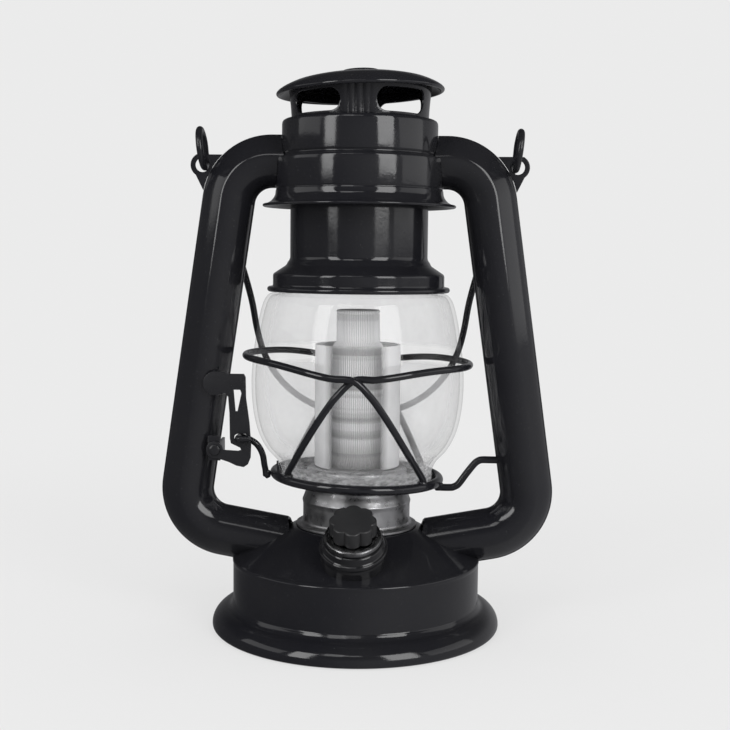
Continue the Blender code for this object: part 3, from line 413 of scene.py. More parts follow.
def rounded(points, steps=4):
    """A line whose corners are rounded; a point is (a, b) or (a, b, corner radius)."""
    line = []
    last = len(points) - 1
    for index, point in enumerate(points):
        corner = Vector(point[:2])
        radius = point[2] if len(point) > 2 else 0.0
        if index in (0, last) or radius <= 0.0:
            line.append(tuple(corner))
            continue
        back = Vector(points[index - 1][:2]) - corner
        ahead = Vector(points[index + 1][:2]) - corner
        reach = min(radius, back.length * 0.48, ahead.length * 0.48)
        start = corner + back.normalized() * reach
        end = corner + ahead.normalized() * reach
        for step in range(steps + 1):
            t = step / steps
            spot = start * (1.0 - t) ** 2 + corner * 2.0 * t * (1.0 - t) + end * t ** 2
            line.append(tuple(spot))
    return line


def turned_mesh(name, profile, turns=TURNS, closed=True, shape_of=None):
    """A closed (r, z) outline turned round Z; shape_of(angle, r, z) may move each point."""
    verts = []
    faces = []
    count = len(profile)
    for turn in range(turns):
        angle = 2.0 * math.pi * turn / turns
        for r, z in profile:
            if shape_of is not None:
                r, z = shape_of(angle, r, z)
            verts.append((r * math.cos(angle), r * math.sin(angle), z))
    for turn in range(turns):
        here = turn * count
        there = (turn + 1) % turns * count
        for index in range(count if closed else count - 1):
            after = (index + 1) % count
            faces.append((here + index, there + index, there + after, here + after))
    return mesh_of(name, verts, faces)


def smooth_path(points, per):
    """A Catmull-Rom line through the points, with so many steps from each to the next."""
    spots = [Vector(point) for point in points]
    spots = [spots[0] * 2.0 - spots[1], *spots, spots[-1] * 2.0 - spots[-2]]
    line = []
    for a, b, c, d in zip(spots, spots[1:], spots[2:], spots[3:]):
        for step in range(per):
            t = step / per
            line.append(0.5 * (2.0 * b + (c - a) * t + (2.0 * a - 5.0 * b + 4.0 * c - d) * t ** 2
                               + (3.0 * b - a - 3.0 * c + d) * t ** 3))
    line.append(spots[-2])
    return line


def wire_mesh(name, points, radius, per=6):
    """A round wire on a smooth line through the points, without twist and with rounded ends."""
    path = smooth_path(points, per)
    last = len(path) - 1
    side = None
    verts = []
    faces = []
    ends = []
    for index, spot in enumerate(path):
        ahead = (path[min(index + 1, last)] - path[max(index - 1, 0)]).normalized()
        if side is None:
            side = ahead.orthogonal()
        side = (side - ahead * side.dot(ahead)).normalized()
        other = ahead.cross(side)
        turns = [2.0 * math.pi * step / WIRE_SIDES for step in range(WIRE_SIDES)]
        rim = [(side * math.cos(turn) + other * math.sin(turn)) * radius for turn in turns]
        verts += [tuple(spot + out) for out in rim]
        if index in (0, last):
            ends.append((index * WIRE_SIDES, spot, ahead * (radius / 2.0 if index else -radius / 2.0), rim))
    for base in range(0, last * WIRE_SIDES, WIRE_SIDES):
        for step in range(WIRE_SIDES):
            here, after = base + step, base + (step + 1) % WIRE_SIDES
            faces.append((here, after, after + WIRE_SIDES, here + WIRE_SIDES))
    for base, spot, out, rim in ends:
        start = len(verts)
        verts += [tuple(spot + out * 0.7 + edge * 0.72) for edge in rim]
        verts.append(tuple(spot + out))
        for step in range(WIRE_SIDES):
            after = (step + 1) % WIRE_SIDES
            faces.append((base + step, base + after, start + after, start + step))
            faces.append((start + step, start + after, start + WIRE_SIDES))
    return mesh_of(name, verts, faces)


def joined(name, *meshes):
    """Several meshes in one."""
    shape = bmesh.new()
    for mesh in meshes:
        shape.from_mesh(mesh)
        bpy.data.meshes.remove(mesh)
    made = bpy.data.meshes.new(name)
    shape.to_mesh(made)
    shape.free()
    return made


def moved(mesh, matrix):
    mesh.transform(matrix)
    return mesh


def slanted(mesh, slope, low_z=0.0, high_z=1.0):
    """Raises each point by slope times its X, growing from none at low_z to all at high_z."""
    for vert in mesh.vertices:
        share = (vert.co.z / MM - low_z) / (high_z - low_z)
        vert.co.z += slope * vert.co.x * max(0.0, min(1.0, share))
    return mesh


def evaluated_mesh(holder):
    """The mesh that an object's curve or modifiers make; the object is removed."""
    bpy.context.view_layer.update()
    graph = bpy.context.evaluated_depsgraph_get()
    mesh = bpy.data.meshes.new_from_object(holder.evaluated_get(graph), depsgraph=graph)
    bpy.data.objects.remove(holder, do_unlink=True)
    return mesh


def plate_mesh(name, outline, thick, holes=(), bevel=0.15):
    """A flat plate with rounded edges and holes, lying in XY with its mid-plane at z = 0."""
    curve = bpy.data.curves.new(name, "CURVE")
    curve.dimensions = "2D"
    curve.fill_mode = "BOTH"
    curve.extrude = (thick / 2.0 - bevel) * MM
    curve.bevel_depth = bevel * MM
    curve.bevel_resolution = 2
    curve.offset = -bevel * MM
    for ring in (outline, *holes):
        spline = curve.splines.new("POLY")
        spline.points.add(len(ring) - 1)
        for spot, point in zip(spline.points, ring):
            spot.co = (point[0] * MM, point[1] * MM, 0.0, 1.0)
        spline.use_cyclic_u = True
    mesh = evaluated_mesh(placed(name, curve))
    bpy.data.curves.remove(curve)
    return mesh


UPRIGHT = Matrix.Rotation(math.radians(90.0), 4, "X")


# ---- base ------------------------------------------------------------------------------------
def dome_z(radius):
    return DRUM_TOP_Z + (DRUM_R - max(radius, DOME_FLAT_R)) * math.tan(DOME_SLOPE)


def base_r(z):
    """Radius at which the side tubes meet the base at a height."""
    if z >= DRUM_TOP_Z:
        return max(TUBE_END_R, DRUM_R - (z - DRUM_TOP_Z) / math.tan(DOME_SLOPE))
    if z >= DRUM_FOOT_Z:
        return DRUM_R
    return DRUM_R + 8.0


def base():
    skirt = arc((DRUM_R + 0.9, 1.6), FOOT_R - DRUM_R - 0.9, 84.0, 6.0, 12)
    rise = (DRUM_FOOT_Z - 2.6) / (FOOT_R - DRUM_R - 0.9)
    skirt = [(r, 1.6 + (z - 1.6) * rise) for r, z in skirt]
    outer = [(DOME_MOUTH_R, dome_z(0.0)), (DOME_FLAT_R, dome_z(0.0), 1.2),
             (DRUM_R - 1.9, dome_z(DRUM_R - 1.9) + 0.05, 0.7), (DRUM_R - 0.9, DRUM_TOP_Z + 0.75, 0.5),
             (DRUM_R + 0.12, DRUM_TOP_Z + 0.1, 0.6), (DRUM_R + 0.12, DRUM_TOP_Z - 0.9, 0.3),
             (DRUM_R - 0.1, DRUM_TOP_Z - 1.5, 0.3), (DRUM_R - 0.1, DRUM_FOOT_Z + 1.3, 0.4),
             (DRUM_R + 0.3, DRUM_FOOT_Z + 0.7, 0.4), (DRUM_R + 0.9, DRUM_FOOT_Z - 0.35, 0.3)]
    rim = arc((FOOT_R - 1.45, 1.45), 1.45, 10.0, -190.0, 14)
    low = [(r, max(z, 0.0)) for r, z in rim]
    inner = [(r - SHEET, z - SHEET * 0.6) for r, z in reversed(skirt)]
    inner += [(DRUM_R - 1.1, DRUM_FOOT_Z - 1.5), (DRUM_R - 1.1, DRUM_TOP_Z - 0.9),
              (DOME_FLAT_R - 0.4, dome_z(0.0) - 1.0), (DOME_MOUTH_R, dome_z(0.0) - SHEET)]
    mesh = turned_mesh("base", rounded(outer) + skirt + low + inner, 192)
    enamelled("base_enamelled", mesh, "base_shell")


# ---- dimmer ----------------------------------------------------------------------------------
def dimmer_frame(height):
    """The matrix that stands a piece on the dimmer's axis at a height along it."""
    x, y, z = KNOB_AXIS
    spot = Vector((x, y - height * math.sin(KNOB_TILT), z + height * math.cos(KNOB_TILT)))
    return Matrix.Translation(spot * MM) @ Matrix.Rotation(KNOB_TILT, 4, "X")


def dimmer():
    line = [(3.1, BOSS_TOP), (BOSS_R - 2.9, BOSS_TOP, 0.3), (BOSS_R - 1.7, BOSS_TOP - 0.6, 0.6),
            (BOSS_R - 1.3, BOSS_TOP - 2.4, 0.5), (BOSS_R - 0.9, BOSS_TOP - 2.9, 0.3),
            (BOSS_R - 0.15, BOSS_TOP - 3.3, 0.5), (BOSS_R, BOSS_TOP - 4.3, 0.6),
            (BOSS_R - 0.25, BOSS_TOP - 5.2, 0.4), (BOSS_R - 1.0, BOSS_TOP - 5.7, 0.3),
            (BOSS_R - 0.7, BOSS_TOP - 6.6, 0.5), (BOSS_R - 0.7, -9.0), (3.1, -9.0)]
    boss = moved(turned_mesh("boss", rounded(line), 96), dimmer_frame(0.0))
    shiny = moulding("boss_black", (0.006, 0.006, 0.007), (0.010, 0.010, 0.011), 0.16, 0.8, 0.006)
    piece("boss_moulded", boss, shiny, "dimmer_boss")

    ring = rounded([(8.1, BEZEL_TOP - 0.5), (8.5, BEZEL_TOP, 0.2), (9.9, BEZEL_TOP, 0.4),
                    (10.9, BEZEL_TOP - 0.5, 0.4), (11.3, BEZEL_TOP - 1.3, 0.3), (11.3, BOSS_TOP + 0.7, 0.2),
                    (11.0, BOSS_TOP + 0.3), (8.1, BOSS_TOP + 0.3)])
    bezel = moved(turned_mesh("bezel", ring, 96), dimmer_frame(0.0))
    steel = sheet_metal("bezel_steel", 0.14, 0.22, 0.26, (1.0, 1.0, 6.0), 4.0)
    piece("bezel_turned", bezel, steel, "dimmer_bezel")

    turns = KNOB_LOBES * 20
    height = KNOB_FACE - KNOB_UNDER
    line = rounded([(3.3, 0.0), (KNOB_R, 0.0, 0.3), (KNOB_R, height - 0.4, 0.1),
                    (KNOB_R - 0.4, height, 0.2), (KNOB_R - 3.0, height, 0.2), (0.0, height - 0.15)], 3)

    def lobed(angle, r, z):
        """Broad round lobes with narrow grooves between them."""
        lobe = abs(math.cos(KNOB_LOBES / 2.0 * angle)) ** 0.75
        depth = 1.25 * max(0.0, min(1.0, (r - 6.2) / 2.4))
        return r - depth * (1.0 - lobe), z

    knob = turned_mesh("knob", line, turns, closed=False, shape_of=lobed)
    matte = moulding("knob_black", (0.013, 0.013, 0.014), (0.019, 0.019, 0.020), 0.36, 0.4, 0.02)
    moved(knob, dimmer_frame(KNOB_UNDER))
    piece("knob_fluted", knob, matte, "dimmer_knob", "dimmer")


# ---- burner collar ---------------------------------------------------------------------------
def burner():
    floor = dome_z(0.0) + 0.3
    outer = [(5.0, BURNER_TOP_Z), (BURNER_NECK_R - 1.2, BURNER_TOP_Z, 0.3),
             (BURNER_NECK_R, BURNER_TOP_Z - 0.9, 0.9), (BURNER_NECK_R, 57.6, 1.2),
             (BURNER_NECK_R + 0.9, 55.3, 1.2), (BURNER_R - 0.2, 53.9, 0.6), (BURNER_R + 0.25, 52.9, 0.6),
             (BURNER_R + 0.05, 52.1, 0.4), (BURNER_R - 0.1, 51.2, 0.4), (BURNER_R - 0.1, floor + 2.0, 0.8),
             (BURNER_R + 0.7, floor + 1.0, 0.5), (BURNER_FLANGE_R, floor + 0.75, 0.2),
             (BURNER_FLANGE_R, floor)]
    inner = [(BURNER_R - 1.0, floor), (BURNER_R - 1.0, 51.6), (BURNER_NECK_R - SHEET, 56.6),
             (BURNER_NECK_R - SHEET, BURNER_TOP_Z - SHEET), (5.0, BURNER_TOP_Z - SHEET)]
    mesh = turned_mesh("burner", rounded(outer) + inner)
    plate = sheet_metal("burner_plate", 0.34, 0.50, 0.34, (1.0, 1.0, 5.0), 11.0)
    piece("burner_pressed", mesh, plate, "burner_shell")


# ---- light -----------------------------------------------------------------------------------
RIBS = 72


def light():
    foot = BURNER_TOP_Z + 0.3
    line = rounded([(0.0, LENS_TOP_Z), (LENS_TIP_R - 0.3, LENS_TOP_Z, 0.3),
                    (LENS_TIP_R, LENS_TOP_Z - 0.5, 0.2), (LENS_TIP_R, LENS_TOP_Z - 1.0),
                    (LENS_TIP_R - 0.3, LENS_TOP_Z - 1.2), (LENS_TIP_R - 0.3, LENS_TOP_Z - 1.8),
                    (LENS_TIP_R - 0.05, LENS_TOP_Z - 2.1), (LENS_TIP_R - 0.05, SLEEVE_TOP_Z + 1.2, 0.6),
                    (LENS_R - 0.05, SLEEVE_TOP_Z - 1.0, 0.6), (LENS_R - 0.05, foot + 5.0, 1.6),
                    (LENS_R + 2.0, foot + 1.6, 1.0), (LENS_R + 2.0, foot)], 3)
    line += [(LENS_R - 1.1, foot), (LENS_R - 1.1, SLEEVE_TOP_Z - 1.4),
             (LENS_TIP_R - 1.1, SLEEVE_TOP_Z + 0.8), (LENS_TIP_R - 1.1, LENS_TOP_Z - 1.0),
             (0.0, LENS_TOP_Z - 1.0)]

    def ribbed(angle, r, z):
        if r < LENS_TIP_R - 0.6 or z > LENS_TOP_Z - 1.9:
            return r, z
        return r - 0.3 * (0.5 - 0.5 * math.cos(RIBS * angle)), z

    lens = turned_mesh("lens", line, RIBS * 8, closed=False, shape_of=ribbed)
    piece("lens_ribbed", lens, ribbed_plastic(), "light_lens", sharp=60.0)

    wall = rounded([(SLEEVE_R - 1.0, foot + 0.2), (SLEEVE_R, foot + 0.2, 0.2),
                    (SLEEVE_R, SLEEVE_TOP_Z, 0.35), (SLEEVE_R - 1.0, SLEEVE_TOP_Z, 0.35),
                    (SLEEVE_R - 1.0, foot + 0.3)])
    piece("sleeve_clear", turned_mesh("sleeve", wall), sleeve_plastic(), "light_sleeve")

    post()
    for number in range(1, 10):
        level = (82.0, 96.0, 110.0)[(number - 1) // 3]
        lamp(number, level, (number - 1) % 3)


def ribbed_plastic():
    """Ribbed moulding, mostly milky, with painted shade: dark grooves, darker tiers for the lamps behind,
    and darker towards its foot.
    """
    paint, place = clear_paint("lens_clear")
    # painted shade: soft darker tiers up the lens, from noise along Z, standing for the lamp column seen
    # through it
    tiers = paint.node("ShaderNodeTexNoise", noise_dimensions="1D")
    paint.feed(1.0 / (7.5 * MM), tiers.inputs["Scale"])
    paint.feed(place["Z"], tiers.inputs["W"])
    painted_tier_shade = paint.span(tiers.outputs["Fac"], 0.0, 0.55, 0.46, 0.60)
    # painted shade, darker towards the foot of the lens; both painted shades are weaker above the sleeve
    low = paint.span(place["Z"], 0.75, 0.0, 68.0 * MM, 78.0 * MM)
    below_sleeve = paint.span(place["Z"], 1.0, 0.25, (SLEEVE_TOP_Z - 2.0) * MM, SLEEVE_TOP_Z * MM)
    painted_shade = paint.maths("MULTIPLY", paint.maths("MAXIMUM", painted_tier_shade, low), below_sleeve)
    around = paint.maths("ARCTAN2", place["Y"], place["X"])
    rib = paint.maths("COSINE", paint.maths("MULTIPLY", around, float(RIBS)))
    # painted shade in the grooves between the ribs
    painted_groove_shade = paint.span(rib, 0.85, 0.0, -1.0, -0.6)
    # the milky white is darkened by the painted shade of the tiers, the foot and the grooves
    white = paint.mixed(paint.maths("MAXIMUM", painted_shade, painted_groove_shade), (0.97, 0.97, 0.98), (0.36, 0.36, 0.36))
    # where the painted shade is darker the lens is also more see-through
    clear_share = paint.maths("ADD", paint.maths("MULTIPLY", painted_shade, 0.5), 0.05)
    body = paint.shader_mix(clear_share, soaked(paint, white, 0.85), see_through(paint, 0.95, 0.6, 2.2))
    return glossed(paint, body, 0.06, 0.16)


def sleeve_plastic():
    """Smooth sleeve: clear in front of the lens, frosted at the sides and back to spread the light."""
    paint, place = clear_paint("sleeve_frosted")
    beside = paint.span(paint.maths("ABSOLUTE", place["X"]), 0.04, 0.86, 9.6 * MM, 13.0 * MM)
    behind = paint.span(place["Y"], 0.0, 0.95, -2.0 * MM, 5.0 * MM)
    frost = paint.maths("MAXIMUM", beside, behind)
    share = paint.maths("MULTIPLY", frost, paint.span(paint.noise(5.0, 4.0), 0.97, 1.03))
    body = paint.shader_mix(share, see_through(paint, 0.97, 0.8, 4.0), milky(paint, 0.80, 0.85))
    return glossed(paint, body, 0.05, 0.12)


def post():
    """The three-sided lamp post: a folded white board with copper-edged pads at each lamp."""
    low = BURNER_TOP_Z + 0.3
    high = LENS_TOP_Z - 12.0
    corner = 2.0 * POST_FACE
    section = []
    for face in range(3):
        angle = math.radians(-30.0 + 120.0 * face)
        for turn in (-6.0, 0.0, 6.0):
            bend = angle + math.radians(turn)
            section.append(((corner - 0.35) * math.cos(bend), (corner - 0.35) * math.sin(bend)))
    verts = [(x, y, z) for z in (low, high) for x, y in section]
    size = len(section)
    faces = [tuple(range(size)), tuple(range(size, 2 * size))]
    faces += [(k, (k + 1) % size, size + (k + 1) % size, size + k) for k in range(size)]
    board = Paint("post_board_white")
    bands = board.node("ShaderNodeTexWave", board.place, 22.0, bands_direction="Z")
    pads = board.span(bands.outputs["Fac"], 0.0, 1.0, 0.80, 0.84)
    board.bump(board.noise(0.5), 0.01)
    white = board.finish(board.mixed(pads, (0.62, 0.63, 0.61), (0.16, 0.15, 0.13)),
                         board.span(board.noise(3.0), 0.35, 0.55))
    piece("post_folded", mesh_of("post", verts, faces), white, "light_post", sharp=20.0)


def lamp(number, level, face):
    """A surface lamp: a square package and a domed phosphor window, both in one pale yellow phosphor
    finish.
    """
    name = "led_%02d" % number
    window = rounded([(0.0, 1.55), (1.0, 1.5, 0.5), (1.6, 1.1, 0.4), (1.6, 0.0)], 3)
    dome = turned_mesh(name, window, 32, closed=False)
    square = [(-2.0, -2.0), (2.0, -2.0), (2.0, 2.0), (-2.0, 2.0)]
    package = plate_mesh(name + "_package", square, 0.9, bevel=0.2)
    moved(package, Matrix.Translation((0.0, 0.0, 0.45 * MM)))
    angle = math.radians(-90.0 + 120.0 * face)
    out = Vector((math.cos(angle), math.sin(angle), 0.0))
    spot = out * (POST_FACE + 0.3) + Vector((0.0, 0.0, level))
    stand = Matrix.Translation(spot * MM) @ out.to_track_quat("Z", "Y").to_matrix().to_4x4()
    mesh = moved(joined(name + "_lamp", dome, package), stand)
    phosphor = Paint(name + "_phosphor")
    phosphor.bump(phosphor.noise(0.3), 0.008)
    yellow = phosphor.finish(phosphor.ramp(phosphor.noise(0.9), (0.78, 0.74, 0.58), (0.84, 0.81, 0.68)),
                             phosphor.span(phosphor.noise(1.5), 0.12, 0.3))
    piece(name + "_lamp", mesh, yellow, name)


# ---- globe carrier ---------------------------------------------------------------------------
def globe_radius(z):
    for (r0, z0), (r1, z1) in zip(GLOBE_LINE, GLOBE_LINE[1:]):
        if z0 <= z <= z1:
            return r0 + (r1 - r0) * (z - z0) / (z1 - z0)
    return GLOBE_LINE[0][0]


def globe():
    belly = smooth_path([(r, z, 0.0) for r, z in GLOBE_LINE], 5)
    line = [(spot.x, spot.y) for spot in belly]
    inner = []
    for index, (r, z) in enumerate(line):
        before = Vector(line[max(0, index - 1)])
        after = Vector(line[min(len(line) - 1, index + 1)])
        along = (after - before).normalized()
        inner.append((r - along.y * GLOBE_WALL, z + along.x * GLOBE_WALL * 0.6))
    inner[0] = (line[0][0] - GLOBE_WALL, line[0][1])
    inner[-1] = (line[-1][0] - GLOBE_WALL, line[-1][1])
    mesh = turned_mesh("globe", line + list(reversed(inner)), 160)
    piece("globe_blown", mesh, globe_glass(), "globe", "globe_carrier")


def chimney():
    outer = [(CHIMNEY_R, CHIMNEY_TOP_Z, 0.2), (CHIMNEY_R, 153.2, 0.5), (CHIMNEY_R + 0.35, 152.2, 0.3),
             (CHIMNEY_R + 0.9, 151.5, 0.3), (CHIMNEY_R + 1.6, 150.1, 0.6), (COLLAR_R - 1.5, 147.5, 0.8),
             (COLLAR_R - 0.35, 146.7, 0.4), (COLLAR_R - 0.05, 146.0, 0.4),
             (COLLAR_R - 0.05, COLLAR_Z + 1.6, 0.5), (COLLAR_R + 0.4, COLLAR_Z + 0.8, 0.3)]
    bead = arc((COLLAR_R + 1.2, COLLAR_Z), 1.1, 110.0, -140.0, 12)
    inner = [(COLLAR_R - SHEET, COLLAR_Z - 0.4), (COLLAR_R - SHEET, 145.9), (COLLAR_R - 1.8, 146.6),
             (CHIMNEY_R + 1.3, 148.9), (CHIMNEY_R - SHEET + 0.2, 151.4), (CHIMNEY_R - SHEET, 153.6),
             (CHIMNEY_R - SHEET, CHIMNEY_TOP_Z)]
    mesh = turned_mesh("chimney", rounded(outer) + bead + inner)
    enamelled("chimney_spun", mesh, "chimney", "globe_carrier")


def globe_plate():
    bead = arc((PLATE_RIM_R, PLATE_RIM_Z), PLATE_BEAD, 150.0, -150.0, 20)
    low = PLATE_RIM_Z - 2.8
    inner = rounded([(PLATE_RIM_R - 1.7, PLATE_RIM_Z - 1.2), (PLATE_RIM_R - 2.6, low, 0.6),
                     (PLATE_HOLE_R + 0.3, low, 0.3), (PLATE_HOLE_R, low + 0.4, 0.2),
                     (PLATE_HOLE_R, low + 2.0, 0.3),
                     (PLATE_HOLE_R + 0.8, low + 2.0, 0.3), (PLATE_HOLE_R + 1.2, low + 0.8, 0.5),
                     (PLATE_RIM_R - 2.9, low + 0.8, 0.8), (PLATE_RIM_R - 1.7, PLATE_RIM_Z + 0.7)])
    rim = turned_mesh("plate", bead + inner)
    outline = [(-1.5, -1.2), (1.5, -1.2), (1.3, 2.4), (0.3, 5.2), (-0.3, 5.2), (-1.3, 2.4)]
    tab = plate_mesh("plate_tab", outline, 0.7)
    stand = (Matrix.Rotation(math.radians(205.0), 4, "Z")
             @ Matrix.Translation(Vector((PLATE_RIM_R + 0.2, 0.0, PLATE_RIM_Z + 1.7)) * MM)
             @ Matrix.Rotation(math.radians(8.0), 4, "Y")
             @ Matrix.Rotation(math.radians(90.0), 4, "Z") @ UPRIGHT)
    mesh = slanted(joined("plate", rim, moved(tab, stand)), -CARRIER_SAG)
    enamelled("plate_rolled", mesh, "globe_plate", "globe_carrier")


def guard_radius(z):
    return max(PLATE_RIM_R, globe_radius(z) + WIRE_R + 0.8)


def guard_wire(name, node, side, at_crossing):
    """One bent wire from a front foot, past the crossing and round one side to the rear foot."""
    ring_r = 46.3
    ring_z = GUARD_RING_Z
    cross_z = 107.2
    foot_z = PLATE_RIM_Z + PLATE_BEAD + 1.2
    foot_x = 27.0
    half = []
    for index in range(7):
        part = index / 7.0
        z = foot_z + (cross_z - foot_z) * part
        x = foot_x * (1.0 - part) ** 0.75
        fall = -side * x * CARRIER_SAG
        wide = guard_radius(z - fall) + (at_crossing - guard_radius(cross_z)) * part ** 3
        half.append((-side * x, -math.sqrt(wide ** 2 - x ** 2), z))
    for index in range(10):
        angle = math.radians(10.0 * index)
        dip = math.cos(angle)
        wide = ring_r + (at_crossing - ring_r) * dip ** 4
        z = ring_z - (ring_z - cross_z) * dip ** 8
        half.append((side * wide * math.sin(angle), -wide * math.cos(angle), z))
    start = half[0]
    half.insert(0, (start[0] * 0.995, start[1] * 0.995, start[2] - 1.0))
    rear = [(x, -y, z) for x, y, z in reversed(half[:-1])]
    points = [(x, y, z - CARRIER_SAG * x) for x, y, z in half + rear]
    meshes = [wire_mesh(name, points, WIRE_R, 5)]
    for x, y, z in (points[0], points[-1]):
        meshes.append(weld_bead((x, y, z - 0.6), 2.1, 1.5))
    enamelled(name, joined(name, *meshes), node, "globe_carrier")


def weld_bead(spot, radius, height):
    """A small lump of weld: a squashed ball with an uneven skin."""
    shape = bmesh.new()
    bmesh.ops.create_icosphere(shape, subdivisions=3, radius=1.0)
    for vert in shape.verts:
        bulge = 1.0 + 0.07 * math.sin(5.0 * vert.co.x + 3.0 * vert.co.y) * math.cos(4.0 * vert.co.z)
        vert.co = Vector((vert.co.x * radius, vert.co.y * radius, vert.co.z * height)) * bulge * MM
        vert.co += Vector(spot) * MM
    mesh = bpy.data.meshes.new("weld")
    shape.to_mesh(mesh)
    shape.free()
    return mesh


def rods():
    under = PLATE_RIM_Z - PLATE_RIM_R * CARRIER_SAG - PLATE_BEAD - 0.3 - 1.5
    right = [(61.0, 0.0, ROD_Z), (56.0, 0.0, ROD_Z), (52.4, 0.0, ROD_Z), (50.6, 0.0, ROD_Z - 0.5),
             (48.8, 0.0, ROD_Z - 2.0), (45.7, 0.0, ROD_Z - 6.0), (42.6, 0.0, under + 1.6),
             (40.8, 0.0, under + 0.4), (39.0, 0.0, under), (33.2, 0.0, under + 0.05)]
    mesh = joined("rod_r", wire_mesh("rod", right, 1.5), weld_bead((34.4, 0.0, under + 1.2), 1.9, 1.1))
    enamelled("rod_right", mesh, "lift_rod_right", "globe_carrier")
    x, z = LEVER_ROD
    inside = LEVER_Y + 0.5
    front = LEVER_Y - 2.7
    left = [(-37.6, -4.6, 63.0), (-37.8, -4.8, 65.4), (-38.2, -5.6, 68.0), (-38.6, -6.6, 71.4),
            (-39.6, -7.2, 74.2), (-41.2, -7.8, 76.6), (-43.4, -8.1, z - 1.4), (-46.0, -8.3, z - 0.3),
            (x + 0.4, -8.8, z), (x, inside + 1.6, z), (x, front + 1.2, z), (x + 0.5, front + 0.2, z),
            (x + 1.6, front, z), (x + 4.6, front, z)]
    mesh = joined("rod_l", wire_mesh("rod", left, 1.3), weld_bead((-37.0, -4.5, 63.6), 1.5, 1.9))
    enamelled("rod_left", mesh, "lift_rod_left", "globe_carrier")


# ---- lift lever ------------------------------------------------------------------------------
def lever():
    px, pz = LEVER_PIVOT
    rx, rz = LEVER_ROD
    outline = [(-42.9, 77.0), (-43.6, 86.0), (-45.0, 96.0), (-45.2, 104.6), (-45.9, 105.9), (-52.4, 105.9),
               (-54.6, 106.6)]
    outline += arc((-57.7, 101.9), 4.9, 75.0, 262.0, 12)
    outline += [(-56.4, 97.2), (-53.6, 98.2), (-52.3, 96.4), (-51.8, 90.0), (-51.6, 79.4), (-51.2, 77.4),
                (-47.4, 75.6), (-47.0, 74.7), (-48.2, 74.3), (-54.2, 74.6)]
    outline += arc((px, pz), 3.5, 15.0, 285.0, 14)
    outline += [(-52.0, 69.6), (-49.0, 68.2), (-45.9, 67.6), (-44.2, 68.8), (-43.1, 71.6)]
    left = rx - px - 1.65
    middle = rz - pz + 0.1
    slot = arc((left + 1.65, middle), 1.65, 90.0, 270.0, 10)
    slot += arc((left + 4.1, middle), 1.65, -90.0, 90.0, 10)
    window = [(-50.1, 99.4), (-47.4, 99.4), (-46.9, 98.0), (-48.5, 90.6), (-49.3, 90.6)]
    holes = [slot, [(x - px, z - pz) for x, z in window], arc((0.0, 0.0), 1.58, 0.0, 345.0, 23)]
    strip = plate_mesh("lever", [(x - px, z - pz) for x, z in outline], 1.0, holes, 0.18)
    strip.transform(Matrix.Translation(Vector((px, LEVER_Y, pz)) * MM) @ UPRIGHT)
    enamelled("lever_stamped", strip, "lift_lever", "lever", tone=1.1, gloss=0.28)

    y = LEVER_Y + 0.8
    base_plate = plate_mesh("bracket", [(-2.9, -4.6), (2.2, -4.6), (2.2, 5.6), (-2.9, 5.6)], 1.0)
    base_plate.transform(Matrix.Translation(Vector((px, y + 0.5, pz)) * MM) @ UPRIGHT)
    web = plate_mesh("web", [(-3.0, 0.0), (3.0, 0.0), (3.0, 13.7), (-3.0, 13.7)], 1.1)
    web.transform(Matrix.Translation(Vector((px + 1.65, y + 0.4, pz)) * MM)
                  @ Matrix.Rotation(math.radians(90.0), 4, "Y"))
    enamelled("bracket_bent", joined("bracket", base_plate, web), "lever_bracket")
    head = rounded([(0.0, 0.85), (1.3, 0.8, 0.4), (2.2, 0.5, 0.4), (2.4, 0.0, 0.2), (1.5, 0.0),
                    (1.5, -1.6), (0.0, -1.6)])
    pin = turned_mesh("pin", head, 40, closed=False)
    pin.transform(Matrix.Translation(Vector((px, LEVER_Y - 0.8, pz)) * MM) @ UPRIGHT)
    piece("pin_riveted", pin, enamel("enamel_pin", gloss=0.2), "lever_pin")


# ---- side tubes ------------------------------------------------------------------------------
def tube_path():
    """Centre line of the right-hand tube in X and Z, from the hood down to the base."""
    slope_tan = math.tan(TUBE_LOWER_SLOPE)
    floor_z = TUBE_LOWER_Z - DRUM_R * slope_tan + TUBE_BEND_R / math.cos(TUBE_LOWER_SLOPE)
    low_z = (floor_z + TUBE_SIDE_X * slope_tan) / (1.0 + math.tan(TUBE_LEAN) * slope_tan)
    low_x = TUBE_SIDE_X - low_z * math.tan(TUBE_LEAN)
    lean = math.degrees(TUBE_LEAN)
    slope = math.degrees(TUBE_LOWER_SLOPE)
    path = [(HOOD_LOWER_R + 1.5, TUBE_RUN_Z)]
    path += arc((TUBE_BEND_X, TUBE_BEND_Z), TUBE_BEND_R, 90.0, lean, 22)
    leg_top, leg_low = path[-1], arc((low_x, low_z), TUBE_BEND_R, lean, -90.0 + slope, 24)
    for step in range(1, 14):
        share = step / 14.0
        path.append((leg_top[0] + (leg_low[0][0] - leg_top[0]) * share,
                     leg_top[1] + (leg_low[0][1] - leg_top[1]) * share))
    path += leg_low
    end_x, end_z = path[-1]
    for reach in (2.0, 5.0):
        path.append((end_x - reach, end_z - reach * slope_tan))
    return path


